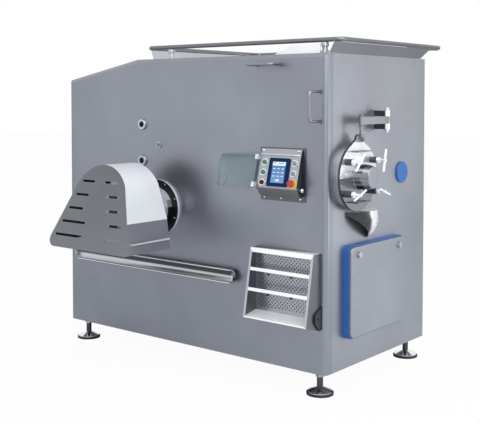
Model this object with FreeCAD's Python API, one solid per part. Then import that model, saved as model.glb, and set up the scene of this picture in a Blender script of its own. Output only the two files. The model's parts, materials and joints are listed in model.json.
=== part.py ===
import FreeCAD, Part
import math
import os

# Floor-standing angle meat grinder in stainless steel. A feed auger lies along the hopper and
# drops the meat into a grinding auger that crosses under it and leaves through the front.
# Sizes are in millimetres. While it is modelled, the machine stands in its own corner frame:
# X = 0 is the right face, Y = 0 the front face, Z = 0 the floor, and the cabinet lies at -X, +Y.

V = FreeCAD.Vector

# Cabinet
cabinet_length = 1990.0
cabinet_depth = 1067.0
cabinet_top = 1790.0
cabinet_bottom = 126.0
slope_length = 607.0
flat_top_length = cabinet_length - slope_length
low_side_top = 1674.0
skin = 3.0
top_bevel = 21.0
corner_radius = 28.0
return_width = 60.0
fit_gap = 0.5

# Feet and floor frame
foot_inset_x = 86.0
foot_inset_y = 76.0
pad_diameter = 145.0
pad_height = 12.0
cone_height = 26.0
stem_diameter = 33.0
foot_boss_diameter = 53.0
foot_boss_height = 20.0
beam_size = 60.0

# Feed side: trough, auger and round end cover, all on one axis along X
feed_axis_y = 226.0
feed_axis_z = 1146.0
feed_radius = 118.0
feed_clearance = 5.0
feed_shaft_diameter = 70.0
feed_pitch = 236.0
feed_flight_thickness = 16.0
feed_nose_length = 18.0
trough_wall = 4.0
drive_room = 674.0
trough_length = cabinet_length - drive_room
trough_top = 1180.0

# Hopper
bowl_front = 108.0
bowl_rear_inset = 95.0
bowl_right_inset = 75.0
collar_foot_inset = 79.0
collar_top_inset = 15.0
collar_right_flare = 30.0
collar_left_flare = 20.0
collar_right_front = 22.0
rim_diameter = 25.0
rim_axis_z = 1860.0
rim_seat_gap = 0.3
collar_wall_rise = rim_axis_z - rim_diameter / 2 - cabinet_top - rim_seat_gap
rim_front = 75.0
rim_rear = cabinet_depth + 91.0
rim_right = 42.0
rim_left = trough_length + 24.0
rim_corner_radius = 30.0
post_left = trough_length - 163.0
post_right = 62.0
post_radius = 15.0
post_flange_radius = 24.0
post_cup_radius = 21.0
post_cup_height = 24.0
splash_length = 365.0
splash_height = 47.0
splash_slant = 110.0

# Grinding side, on one axis along Y
grind_inset = 129.0
grind_axis_x = grind_inset - trough_length
grind_axis_z = 912.0
barrel_bore_radius = 90.5
barrel_wall = 9.0
barrel_length = 400.0
worm_radius = 88.0
worm_pitch = 110.0
worm_flight_thickness = 14.0
flight_steps = 18
worm_shaft_radius = 36.0
plate_radius = 100.0
plate_seat_depth = 58.0
barrel_nose = 152.0
nose_radius = 118.0
outlet_flange_radius = 165.0
outlet_flange_thickness = 14.0
precutter_thickness = 12.0
knife_thickness = 20.0
knife_radius = 88.0
hole_plate_thickness = 18.0
plate_hole_diameter = 24.0
knife_pin_radius = 20.0
cutting_gap = 0.4
ring_nut_radius = 133.0
ring_nut_length = 104.0
ring_nut_lip = 12.0
running_gap = 0.3
inlet_size = 150.0

# Drives
feed_gearbox_length = 170.0
feed_gearbox_size = 250.0
feed_motor_diameter = 220.0
feed_motor_length = 330.0
main_gearbox_length = 220.0
main_gearbox_width = 300.0
main_gearbox_height = 340.0
main_motor_diameter = 300.0
motor_rear_gap = 67.0
main_motor_length = cabinet_depth - barrel_length - main_gearbox_length - motor_rear_gap
stand_plate = 12.0

# Guard hood over the outlet
hood_back = 200.0
hood_bottom = 719.0
hood_front = 551.0
hood_lean = 15.0
hood_right_foot = 279.0
hood_fold_z = 884.0
hood_right_fold = 256.0
hood_shoulder_z = 1078.0
hood_right_shoulder = 188.0
hood_top = 1186.0
hood_crest = 22.0
hood_left_shoulder = 201.0
hood_left_shoulder_z = 1066.0
hood_left_flare_z = 735.0
hood_left_foot = 361.0
hood_corner_radius = 42.0
hood_skin = 3.0
slot_height = 13.0
slot_pitch = 76.0
slot_rows = 5
slot_bottom_z = 789.0
hinge_post_offset = 398.0
hinge_post_y = 190.0
hinge_post_diameter = 24.0
hood_ledge_z = 772.0

# Front rail and grab handles
rail_left_inset = 105.0
rail_right = 583.0
rail_bottom = 538.0
rail_height = 75.0
rail_standoff = 22.0
rail_depth = 26.0
rail_sheet = 4.0
rail_stud_inset = 150.0
rail_stud_radius = 14.0
handle_rod = 15.0
handle_reach = 90.0
top_handle_left = 453.0
top_handle_right = 290.0
top_handle_z = 1736.0
side_handle_x = 46.0
side_handle_top = 1592.0
side_handle_bottom = 1439.0

# Push buttons and lamp on the front face
button_x = 134.0 - grind_axis_x
upper_button_z = 1402.0
lower_button_z = 1185.0
lamp_x = -2.0 - grind_axis_x
lamp_z = 1284.0
bezel_diameter = 66.0
cap_diameter = 36.0
cap_travel = 4.0
lamp_bezel_diameter = 36.0
lamp_lens_diameter = 25.0

# Control panel, all of it set out from the underside of the console
console_base = 1044.0
console_left = 406.0
console_right = 143.0
console_lower_rise = 56.0
console_face_rise = 158.0
console_roof_rise = 32.0
console_face_bottom = console_base + console_lower_rise
console_face_top = console_face_bottom + console_face_rise
console_top = console_face_top + console_roof_rise
console_reach_top = 22.0
console_reach_bottom = 62.0
panel_plate_left = 421.0
panel_plate_right = 126.0
panel_plate_top = console_top + 7.0
panel_plate_bottom = console_base - 30.0
panel_plate_thickness = 4.0
screen_left = 337.0
screen_right = 203.0
screen_height = 152.0
screen_drop = 11.0
display_width = 86.0
display_height = 113.0
bezel_thickness = 6.0
key_column_left = 369.0
key_column_right = 174.0
key_pitch = 54.5
key_rows_drop = 14.0
key_diameter = 26.0
key_ring_diameter = 38.0
key_travel = 3.0
key_height = 7.0
estop_x = 169.0
estop_diameter = 40.0
estop_collar_diameter = 50.0
estop_height = 26.0
estop_travel = 5.0
cover_axis_gap = 6.0
cover_edge_gap = 13.0
cover_overhang = 9.0
cover_height = 183.0
cover_drop = 16.0
cover_hinge_top = 66.0
cover_hinge_bottom = -85.0
cover_axis_lift = 11.0
cover_depth = 21.0
cover_sheet = 3.0
cover_lean_back = 4.5
cover_hole_diameter = 55.0

# Ventilation box
vent_left = 445.0
vent_right = 34.0
vent_top = 760.0
vent_bottom = 356.0
vent_front_bottom = 393.0
vent_reach_top = 62.0
vent_reach_bottom = 128.0
vent_sheet = 4.0
vent_border = 14.0
vent_top_border = 24.0
vent_lip = 8.0
vent_bar_height = 17.0
vent_bar_levels = (534.0, 640.0)
vent_screen_depth = 20.0
vent_hole_size = 15.0
vent_hole_rows = 2
vent_hole_columns = 9
vent_sill_rise = 21.0
lug_height = 120.0
lug_reach = 62.0

# Service door
door_front = 165.0
door_rear = 728.0
door_bottom = 293.0
door_top = 775.0
door_thickness = 15.0
door_corner = 30.0
gasket_thickness = 34.0
gasket_margin = 7.0
gasket_band = 32.0
door_lift = 80.0
knob_inset_y = 70.0
knob_inset_z = 43.0
knob_diameter = 34.0

# Round end cover, its clamp screws and its swing arm
seat_ring_radius = 165.0
seat_ring_thickness = 34.0
cover_radius = 182.0
cover_plate_thickness = 14.0
seal_thickness = 4.0
boss_radius = 71.0
boss_length = 10.0
nose_middle_radius = 67.0
nose_end_radius = 58.0
cover_reach = 145.0
ear_z = 1344.0
ear_radius = 24.0
clamp_pitch_y = 244.0
clamp_pitch_z = 166.0
clamp_spindle_radius = 8.0
clamp_boss_radius = 17.0
clamp_boss_length = 40.0
clamp_reach = 147.0
tbar_radius = 6.0
tbar_length = 120.0
fin_length = 40.0
fin_width = 140.0
fin_thickness = 5.0
fin_top_z = 1280.0
fin_bottom_z = 1014.0
arm_axis_x = 76.0
arm_axis_y = 470.0
arm_axis_z = 1440.0
arm_height = 40.0
arm_thickness = 16.0
arm_pin_radius = 10.0
arm_end_lift = 12.0
lug_block_height = 30.0
buffer_y = 765.0
buffer_z = 1134.0
buffer_diameter = 122.0
buffer_thickness = 13.0

# Cable gland on the rear panel
gland_inset = 290.0
gland_z = 300.0
gland_diameter = 40.0

# Rinse scoop under the round cover
scoop_y = 325.0
scoop_z = 932.0
scoop_reach = 83.0
scoop_long = 170.0
scoop_short = 123.0
scoop_mouth = 0.6
scoop_slant = 34.0
scoop_top = 956.0
scoop_sheet = 3.0

# Overall reach beyond the cabinet, which centres the finished machine on the origin
side_reach = cover_reach
front_reach = hood_front
rear_reach = rim_rear + rim_diameter / 2 - cabinet_depth
SHIFT = V((cabinet_length - side_reach) / 2, (front_reach - cabinet_depth - rear_reach) / 2, 0)

# Local frames: in each, local X runs to the right and local Y up as seen from outside,
# and local Z points out of the machine
FRONT = FreeCAD.Rotation(V(1, 0, 0), 90)
RIGHT = FreeCAD.Rotation(V(1, 1, 1), 120)


def save(name, *solids):
    shape = solids[0] if len(solids) == 1 else Part.makeCompound(list(solids))
    shape = shape.copy()
    shape.translate(SHIFT)
    shape.exportStep("parts/" + name + ".step")


def box(x0, x1, y0, y1, z0, z1):
    return Part.makeBox(x1 - x0, y1 - y0, z1 - z0, V(x0, y0, z0))


def rod(radius, length, start=V(0, 0, 0), axis=V(0, 0, 1)):
    return Part.makeCylinder(radius, length, start, axis)


def ring(outer, inner, length, start=V(0, 0, 0), axis=V(0, 0, 1)):
    return rod(outer, length, start, axis).cut(rod(inner, length, start, axis))


def turned(points):
    """Solid of revolution about Z from (radius, height) points."""
    wire = Part.makePolygon([V(r, 0, z) for r, z in points + points[:1]])
    return Part.Face(wire).revolve(V(0, 0, 0), V(0, 0, 1), 360)


def many_sided(radius, sides, length, start=V(0, 0, 0)):
    """Straight bar along Z with flat sides, such as a hexagon head."""
    turns = [2 * math.pi * i / sides for i in range(sides + 1)]
    ends = [start + V(radius * math.cos(t), radius * math.sin(t), 0) for t in turns]
    return Part.Face(Part.makePolygon(ends)).extrude(V(0, 0, length))


def frustum(low, low_z, high, high_z):
    """Flat-faced block between two level rectangles given as (x0, x1, y0, y1)."""
    def ring_at(rect, z):
        x0, x1, y0, y1 = rect
        return [V(x0, y0, z), V(x1, y0, z), V(x1, y1, z), V(x0, y1, z)]
    bottom = ring_at(low, low_z)
    top = ring_at(high, high_z)
    outlines = [bottom, top]
    for k in range(4):
        after = (k + 1) % 4
        outlines.append([bottom[k], bottom[after], top[after], top[k]])
    shell = Part.makeShell([Part.Face(Part.makePolygon(o + o[:1])) for o in outlines])
    shell.sewShape(0.001)
    solid = Part.makeSolid(shell)
    return solid if solid.Volume > 0 else solid.reversed()


def plate(width, height, thickness, radius):
    """Plate centred on the local origin with rounded corners, standing on local Z = 0."""
    slab = Part.makeBox(width, height, thickness, V(-width / 2, -height / 2, 0))
    corners = [e for e in slab.Edges if abs(e.tangentAt(e.FirstParameter).z) > 0.9]
    return slab.makeFillet(radius, corners)


def seat(shape, rotation, place):
    """Copy of a locally modelled shape, turned into the machine frame and set at a place."""
    copy = shape.copy()
    copy.Placement = FreeCAD.Placement(place, rotation).multiply(copy.Placement)
    return copy


def on_front(shape, x, z, out=0.0):
    return seat(shape, FRONT, V(x, -out, z))


def on_right(shape, y, z, out=0.0):
    return seat(shape, RIGHT, V(out, y, z))


def prism_along_y(points, y0, y1):
    """Prism from (x, z) points between two depths."""
    wire = Part.makePolygon([V(x, y0, z) for x, z in points + points[:1]])
    return Part.Face(wire).extrude(V(0, y1 - y0, 0))


def prism_along_x(points, x0, x1):
    """Prism from (y, z) points between two X positions."""
    wire = Part.makePolygon([V(x0, y, z) for y, z in points + points[:1]])
    return Part.Face(wire).extrude(V(x1 - x0, 0, 0))


def bent_rod(corners, bend, radius, closed=False):
    """Round rod through corner points, with each corner rounded to the bend radius."""
    edges = []
    count = len(corners)
    starts = []
    for i, corner in enumerate(corners):
        if not closed and i in (0, count - 1):
            starts.append((corner, corner, None))
            continue
        back = (corners[i - 1] - corner).normalize()
        ahead = (corners[(i + 1) % count] - corner).normalize()
        half = back.getAngle(ahead) / 2
        leg = bend / math.tan(half)
        middle = (back + ahead).normalize()
        centre = corner + middle * (bend / math.sin(half))
        starts.append((corner + back * leg, corner + ahead * leg, centre - middle * bend))
    for i in range(count if closed else count - 1):
        edges.append(Part.LineSegment(starts[i][1], starts[(i + 1) % count][0]).toShape())
        tail = starts[(i + 1) % count]
        if tail[2] is not None:
            edges.append(Part.Arc(tail[0], tail[2], tail[1]).toShape())
    path = Part.Wire(edges)
    begin = starts[0][1]
    heading = (starts[1][0] - begin).normalize()
    section = Part.Wire([Part.Circle(begin, heading, radius).toShape()])
    return path.makePipeShell([section], True, True)


def helical_flight(inner, outer, root, pitch, length):
    """Right-handed flight along +Z in short flat steps, thinner at its edge than at its root."""
    taper = root / 4
    section = [(inner, 0.0), (outer, taper), (outer, root - taper), (inner, root)]
    steps = int((length - root) / pitch * flight_steps)
    rows = []
    for i in range(steps + 1):
        turn = 2 * math.pi * i / flight_steps
        lift = pitch * i / flight_steps
        rows.append([V(r * math.cos(turn), r * math.sin(turn), z + lift) for r, z in section])
    outlines = [rows[0], rows[-1]]
    for low, high in zip(rows, rows[1:]):
        for k in range(4):
            after = (k + 1) % 4
            outlines.append([low[k], low[after], high[after]])
            outlines.append([low[k], high[after], high[k]])
    shell = Part.makeShell([Part.Face(Part.makePolygon(o + o[:1])) for o in outlines])
    shell.sewShape(0.001)
    solid = Part.makeSolid(shell)
    return solid if solid.Volume > 0 else solid.reversed()


def cabinet_block(inset):
    """Outside form of the cabinet, drawn in by an inset on every face."""
    left = -cabinet_length + inset
    right = -inset
    low = cabinet_bottom + inset
    slope = math.atan2(cabinet_top - low_side_top, cabinet_length - flat_top_length)
    high = cabinet_top - inset
    shift = inset * math.tan(slope / 2)
    break_x = -flat_top_length - shift
    left_high = high - (break_x - left) * math.tan(slope)
    profile = [(left, low), (right, low), (right, high), (break_x, high), (left, left_high)]
    block = prism_along_y(profile, inset, cabinet_depth - inset)
    upright = [e for e in block.Edges if abs(e.tangentAt(e.FirstParameter).z) > 0.99]
    block = block.makeFillet(corner_radius - inset, upright)
    reach = top_bevel + inset * (math.sqrt(2) - 1)
    corner = [V(0, inset - 5, high + 5), V(0, inset + reach, high + 5),
              V(0, inset + reach, high), V(0, inset, high - reach), V(0, inset - 5, high - reach)]
    level_run = V(break_x - 5, 0, 0)
    sloped_run = V(left - break_x - 5, 0, left_high - high - 5 * math.tan(slope))
    for start, run in ((V(5, 0, 0), level_run), (V(break_x, 0, 0), sloped_run)):
        face = Part.Face(Part.makePolygon([p + start for p in corner + corner[:1]]))
        block = block.cut(face.extrude(run))
    return block


def cabinet_skin():
    return cabinet_block(0).cut(cabinet_block(skin))


def vent_window():
    return box(-vent_left + vent_border, -vent_right - vent_border, -5, return_width,
               vent_front_bottom, vent_top - 2 * vent_border)


def make_cabinet():
    shell = cabinet_skin()
    far = 3000.0
    front_zone = box(-far, far, -far, return_width, 0, far)
    rear_zone = box(-far, far, cabinet_depth - return_width, far, 0, far)
    middle = shell.cut(front_zone).cut(rear_zone)

    outlet = rod(nose_radius + fit_gap, return_width, V(grind_axis_x, -5, grind_axis_z), V(0, 1, 0))
    front = shell.common(front_zone).cut(outlet).cut(vent_window())
    for x, z, bore in front_bores():
        front = front.cut(rod(bore, return_width, V(x, -5, z), V(0, 1, 0)))
    save("front_panel", front)

    right_zone = box(-return_width, far, -far, far, 0, far)
    feed_hole = rod(feed_radius + feed_clearance + trough_wall + fit_gap, 2 * return_width,
                    V(-return_width, feed_axis_y, feed_axis_z), V(1, 0, 0))
    door_hole = box(-return_width, 5, door_front + gasket_band + 10, door_rear - gasket_band - 10,
                    door_bottom + gasket_band + 10, door_top - gasket_band - 10)
    save("right_panel", middle.common(right_zone).cut(feed_hole).cut(door_hole))

    floor_zone = box(-cabinet_length + return_width, -return_width, -far, far, 0,
                     cabinet_bottom + skin)
    left_zone = box(-far, -flat_top_length, -far, far, 0, far)
    save("left_panel", middle.common(left_zone).cut(floor_zone))
    save("rear_panel", shell.common(rear_zone).cut(gland_bore()))
    save("floor_pan", middle.common(floor_zone))
    return middle.common(box(-flat_top_length, -return_width, -far, far,
                             cabinet_top - skin, far))


def front_bores():
    """Through holes of the front face: (x, z, radius)."""
    return [(-button_x, upper_button_z, cap_diameter / 2 - 3),
            (-button_x, lower_button_z, cap_diameter / 2 - 3),
            (-lamp_x, lamp_z, lamp_lens_diameter / 2 - 3)]


def gland_bore():
    return rod(gland_diameter / 2, 2 * return_width,
               V(gland_inset - cabinet_length, cabinet_depth - return_width, gland_z), V(0, 1, 0))


def make_cable_gland():
    """Hexagon gland on the rear panel, seated in its bore."""
    toward_rear = FreeCAD.Rotation(V(1, 0, 0), -90)
    shank = rod(gland_diameter / 2 - fit_gap, 30, V(0, 0, -30))
    gland = many_sided(28, 6, 14).fuse(rod(17, 34)).fuse(shank)
    gland = gland.cut(rod(9, 90, V(0, 0, -40)))
    save("cable_gland", seat(gland, toward_rear, V(gland_inset - cabinet_length, cabinet_depth, gland_z)))


def make_base_frame():
    low = cabinet_bottom + skin
    high = low + beam_size
    x0 = -cabinet_length + return_width
    x1 = -return_width
    y0 = return_width
    y1 = cabinet_depth - return_width
    frame = box(x0, x1, y0, y1, low, high).cut(
        box(x0 + beam_size, x1 - beam_size, y0 + beam_size, y1 - beam_size, low, high))
    for x in (grind_axis_x - main_gearbox_width / 2, grind_axis_x + main_gearbox_width / 2):
        frame = frame.fuse(box(x - beam_size / 2, x + beam_size / 2, y0 + beam_size,
                               y1 - beam_size, low, high))
    save("base_frame", frame.removeSplitter())


def foot_places():
    return [(x, y) for x in (-foot_inset_x, -cabinet_length + foot_inset_x)
            for y in (foot_inset_y, cabinet_depth - foot_inset_y)]


def make_feet():
    pad_radius = pad_diameter / 2
    pads = []
    feet = []
    for x, y in foot_places():
        pads.append(rod(pad_radius, pad_height, V(x, y, 0)))
        top = cabinet_bottom
        stem = stem_diameter / 2
        foot = turned([(0, pad_height), (pad_radius - 6, pad_height), (pad_radius - 6, pad_height + 5),
                       (stem, pad_height + cone_height), (stem, top - foot_boss_height),
                       (foot_boss_diameter / 2, top - foot_boss_height), (foot_boss_diameter / 2, top),
                       (0, top)])
        feet.append(seat(foot, FreeCAD.Rotation(), V(x, y, 0)))
    save("foot_pads", *pads)
    save("levelling_feet", *feet)


def funnel(top, top_z, foot, foot_z, sheet):
    """Open funnel wall between two level rectangles given as (x0, x1, y0, y1)."""
    def grown(rect):
        x0, x1, y0, y1 = rect
        return (x0 - sheet, x1 + sheet, y0 - sheet, y1 + sheet)
    return frustum(grown(foot), foot_z, grown(top), top_z).cut(frustum(foot, foot_z, top, top_z))


def trough_bore():
    return feed_radius + feed_clearance


def bowl_rect():
    return (-trough_length + trough_wall, -bowl_right_inset, bowl_front, cabinet_depth - bowl_rear_inset)


def make_hopper_bowl(deck):
    """Deck with the sloped bowl under it, pierced where the feed auger and its tube pass."""
    bore = trough_bore()
    x0, x1, y0, y1 = bowl_rect()
    foot = (x0, x1, feed_axis_y - bore, feed_axis_y + bore)
    wall = funnel((x0, x1, y0, y1), cabinet_top - skin, foot, trough_top, skin)
    deck = deck.cut(box(x0, x1, y0, y1, trough_top, cabinet_top + 5))
    axis = V(1, 0, 0)
    wall = wall.cut(rod(bore + trough_wall + running_gap, 20, V(x1 - 5, feed_axis_y, feed_axis_z), axis))
    shaft_start = V(x0 - 10, feed_axis_y, feed_axis_z)
    wall = wall.cut(rod(feed_shaft_diameter / 2 + running_gap, 20, shaft_start, axis))
    save("hopper_bowl", deck.fuse(wall).removeSplitter())


def make_hopper_collar():
    """Flared splash walls on the deck with a level rear lip, and the low plate at the front."""
    low = cabinet_top
    high = low + collar_wall_rise
    ahead = -cabinet_depth
    rear_foot = cabinet_depth - collar_foot_inset
    rear_top = cabinet_depth - collar_top_inset
    left = -trough_length - collar_left_flare
    t = skin
    inner_low = (-trough_length + t, -t, ahead, rear_foot - t)
    inner_high = (left + t, collar_right_flare - t, ahead, rear_top - t)
    walls = funnel(inner_high, high, inner_low, low, t)
    middle = -trough_length / 2
    walls = walls.cut(box(middle, cabinet_length, 2 * ahead, collar_right_front, low - 1, high + 1))
    walls = walls.cut(box(-cabinet_length, middle, 2 * ahead, rim_front + 12, low - 1, high + 1))
    lip = box(left, collar_right_flare, rear_top - t, rim_rear, high - t, high)
    right = -post_right - 6
    plate_y = rim_front - 35
    splash = prism_along_y([(-splash_length, low), (right, low), (right, low + splash_height),
                            (-splash_length + splash_slant, low + splash_height)], plate_y, plate_y + t)
    save("hopper_collar", walls.fuse(lip).removeSplitter(), splash)


def make_hopper_rim():
    z = rim_axis_z
    corners = [V(rim_right, rim_front, z), V(rim_right, rim_rear, z), V(-rim_left, rim_rear, z),
               V(-rim_left, rim_front, z)]
    save("hopper_rim", bent_rod(corners, rim_corner_radius, rim_diameter / 2, closed=True))


def make_rim_posts():
    rise = rim_axis_z - rim_diameter / 2 - cabinet_top
    shaft = post_radius
    cup = post_cup_radius
    neck = rise - post_cup_height
    post = turned([(0, 0), (post_flange_radius, 0), (post_flange_radius, 5), (shaft, 9), (shaft, neck),
                   (cup, neck + 4), (cup, rise - 4), (cup - 4, rise), (0, rise)])
    places = [V(-x, rim_front, cabinet_top) for x in (post_left, post_right)]
    save("rim_posts", *[seat(post, FreeCAD.Rotation(), p) for p in places])


def make_feed_trough():
    bore = trough_bore()
    outer = bore + trough_wall
    x0 = -trough_length
    axis = V(1, 0, 0)

    def channel(radius, start, stop):
        tube = rod(radius, stop - start, V(start, feed_axis_y, feed_axis_z), axis)
        throat = box(start, stop, feed_axis_y - radius, feed_axis_y + radius, feed_axis_z, trough_top)
        return tube.fuse(throat)

    end = -bowl_right_inset
    above = box(x0 - 5, end, 0, cabinet_depth, trough_top, cabinet_top)
    body = channel(outer, x0, end).cut(above)
    body = body.fuse(rod(outer, -end, V(end, feed_axis_y, feed_axis_z), axis))
    body = body.cut(channel(bore, x0 + trough_wall, end))
    body = body.cut(rod(bore, 1 - end, V(end, feed_axis_y, feed_axis_z), axis))
    body = body.cut(rod(feed_shaft_diameter / 2 + running_gap, 3 * trough_wall,
                        V(x0 - trough_wall, feed_axis_y, feed_axis_z), axis))
    half = inlet_size / 2
    drop = box(grind_axis_x - half, grind_axis_x + half, feed_axis_y - half, feed_axis_y + half,
               feed_axis_z - outer - 5, feed_axis_z)
    body = body.cut(drop)
    seat_ring = ring(seat_ring_radius, bore, seat_ring_thickness, V(0, feed_axis_y, feed_axis_z), axis)
    save("feed_trough", body.fuse(seat_ring).removeSplitter())


def make_feed_auger():
    """Shaft along X with one flight that pushes to the left, and a coned tip in the cover."""
    radius = feed_shaft_diameter / 2
    tip = seal_thickness + seat_ring_thickness
    start = -trough_length - feed_gearbox_length / 2
    shaft = rod(radius, tip - start, V(0, 0, start), V(0, 0, 1))
    nose = Part.makeCone(radius, radius - feed_nose_length, feed_nose_length, V(0, 0, tip))
    flight = helical_flight(radius - 2, feed_radius, feed_flight_thickness, feed_pitch,
                            trough_length - 80)
    flight.translate(V(0, 0, -trough_length + 30))
    auger = shaft.fuse(nose).fuse(flight)
    save("feed_auger", seat(auger, RIGHT, V(0, feed_axis_y, feed_axis_z)))


def make_feed_gearmotor():
    """Gear unit bolted to the trough end, with its ribbed motor and fan cowl in line."""
    size = feed_gearbox_size
    case = plate(size, size, feed_gearbox_length, 24)
    case = case.cut(rod(feed_shaft_diameter / 2 + running_gap, feed_gearbox_length / 2 + 1))
    motor = rod(feed_motor_diameter / 2, feed_motor_length, V(0, 0, feed_gearbox_length))
    for i in range(12):
        fin = Part.makeBox(feed_motor_diameter / 2 + 10, 4, feed_motor_length - 90,
                           V(0, -2, feed_gearbox_length + 25))
        fin.rotate(V(0, 0, 0), V(0, 0, 1), 30 * i)
        motor = motor.fuse(fin)
    unit = case.fuse(motor)
    away = FreeCAD.Rotation(V(0, 1, 0), -90)
    save("feed_gearmotor", seat(unit, away, V(-trough_length, feed_axis_y, feed_axis_z)))


def make_grinding_barrel():
    """Auger housing with the feed inlet on top, the front flange and the coarse nose."""
    axis = V(0, 1, 0)
    centre = V(grind_axis_x, 0, grind_axis_z)
    outer = barrel_bore_radius + barrel_wall
    body = rod(outer, barrel_length, centre, axis)
    body = body.fuse(rod(nose_radius, barrel_nose + return_width, centre - axis * barrel_nose, axis))
    body = body.fuse(rod(outlet_flange_radius, outlet_flange_thickness,
                         centre - axis * outlet_flange_thickness, axis))
    half = inlet_size / 2
    floor = feed_axis_z - trough_bore() - trough_wall
    duct = box(grind_axis_x - half - 6, grind_axis_x + half + 6, feed_axis_y - half - 6,
               feed_axis_y + half + 6, grind_axis_z, floor)
    body = body.fuse(duct)
    body = body.cut(rod(barrel_bore_radius, barrel_length + barrel_nose, centre - axis * barrel_nose, axis))
    body = body.cut(rod(plate_radius + running_gap, plate_seat_depth, centre - axis * barrel_nose, axis))
    body = body.cut(box(grind_axis_x - half, grind_axis_x + half, feed_axis_y - half,
                        feed_axis_y + half, grind_axis_z, floor + 1))
    for i in range(8):
        turn = math.radians(45 * i + 22.5)
        spot = centre + V(math.cos(turn), 0, math.sin(turn)) * (outlet_flange_radius - 20)
        head = on_front(many_sided(10, 6, 7), spot.x, spot.z, outlet_flange_thickness - 1)
        body = body.fuse(head)
    save("grinding_barrel", body.removeSplitter())


def nose_station(depth):
    """Local Z of a plane that lies a depth behind the open end of the barrel nose."""
    return barrel_nose - depth


def make_cutting_set():
    """Hole plate at the mouth, the knife behind it, and the pre-cutter on the bore's shoulder."""
    hole_z = nose_station(hole_plate_thickness)
    knife_z = hole_z - cutting_gap - knife_thickness
    pre_z = nose_station(plate_seat_depth)
    centre = V(grind_axis_x, 0, grind_axis_z)

    disc = rod(plate_radius, hole_plate_thickness, V(0, 0, hole_z))
    disc = disc.cut(rod(knife_pin_radius + running_gap, hole_plate_thickness, V(0, 0, hole_z)))
    for radius, count in ((44, 6), (77, 12)):
        for i in range(count):
            turn = 2 * math.pi * i / count
            spot = V(radius * math.cos(turn), radius * math.sin(turn), hole_z)
            disc = disc.cut(many_sided(plate_hole_diameter / 2, 8, hole_plate_thickness, spot))
    save("hole_plate", seat(disc, FRONT, centre))

    hub = rod(34, knife_thickness, V(0, 0, knife_z))
    for i in range(4):
        blade = Part.makePolygon([V(0, -14, knife_z), V(knife_radius - 3, -20, knife_z),
                                  V(knife_radius, 4, knife_z), V(0, 14, knife_z),
                                  V(0, -14, knife_z)])
        blade = Part.Face(blade).extrude(V(0, 0, knife_thickness))
        bevel = Part.Face(Part.makePolygon([V(30, -30, knife_z - 1), V(30, -30, knife_z + 13),
                                            V(30, -4, knife_z - 1), V(30, -30, knife_z - 1)]))
        blade = blade.cut(bevel.extrude(V(80, 0, 0)))
        blade.rotate(V(0, 0, 0), V(0, 0, 1), 90 * i)
        hub = hub.fuse(blade)
    hub = hub.cut(rod(knife_pin_radius, knife_thickness, V(0, 0, knife_z)))
    save("cutter_knife", seat(hub.removeSplitter(), FRONT, centre))

    pre = ring(plate_radius, knife_pin_radius + 12, precutter_thickness, V(0, 0, pre_z))
    for i in range(3):
        kidney = ring(80, 50, precutter_thickness, V(0, 0, pre_z))
        wedge = Part.makePolygon([V(0, 0, pre_z), V(200, -130, pre_z), V(200, 130, pre_z),
                                  V(0, 0, pre_z)])
        kidney = kidney.common(Part.Face(wedge).extrude(V(0, 0, precutter_thickness)))
        kidney.rotate(V(0, 0, 0), V(0, 0, 1), 120 * i)
        pre = pre.cut(kidney)
    save("pre_cutter", seat(pre, FRONT, centre))


def make_grinding_auger():
    """Worm with a slim flight in the barrel, and a pin at its tip that carries the knife."""
    worm_tip = nose_station(plate_seat_depth) - 4
    pin_tip = nose_station(0) - 2
    tail = -barrel_length - main_gearbox_length / 3
    shaft = rod(worm_shaft_radius, worm_tip - tail, V(0, 0, tail))
    neck = rod(knife_pin_radius + 10, precutter_thickness + 6, V(0, 0, worm_tip))
    pin = rod(knife_pin_radius, pin_tip - worm_tip, V(0, 0, worm_tip))
    flight = helical_flight(worm_shaft_radius - 2, worm_radius, worm_flight_thickness, worm_pitch,
                            barrel_length + worm_tip - 6)
    flight.translate(V(0, 0, -barrel_length + 4))
    worm = shaft.fuse(neck).fuse(pin).fuse(flight)
    save("grinding_auger", seat(worm, FRONT, V(grind_axis_x, 0, grind_axis_z)))


def make_ring_nut():
    """Screw ring that holds the cutting set, with rounded grips round its rim."""
    back = nose_station(ring_nut_length - ring_nut_lip)
    front = nose_station(0) + running_gap
    nut = turned([(nose_radius + running_gap, back), (ring_nut_radius - 5, back),
                  (ring_nut_radius, back + 6), (ring_nut_radius, front + ring_nut_lip - 8),
                  (ring_nut_radius - 8, front + ring_nut_lip), (plate_radius - 8, front + ring_nut_lip),
                  (plate_radius - 8, front), (nose_radius + running_gap, front)])
    for i in range(8):
        turn = 2 * math.pi * i / 8
        spot = V((ring_nut_radius + 4) * math.cos(turn), (ring_nut_radius + 4) * math.sin(turn), back + 30)
        nut = nut.cut(rod(11, ring_nut_length, spot))
    save("ring_nut", seat(nut, FRONT, V(grind_axis_x, 0, grind_axis_z)))


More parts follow.
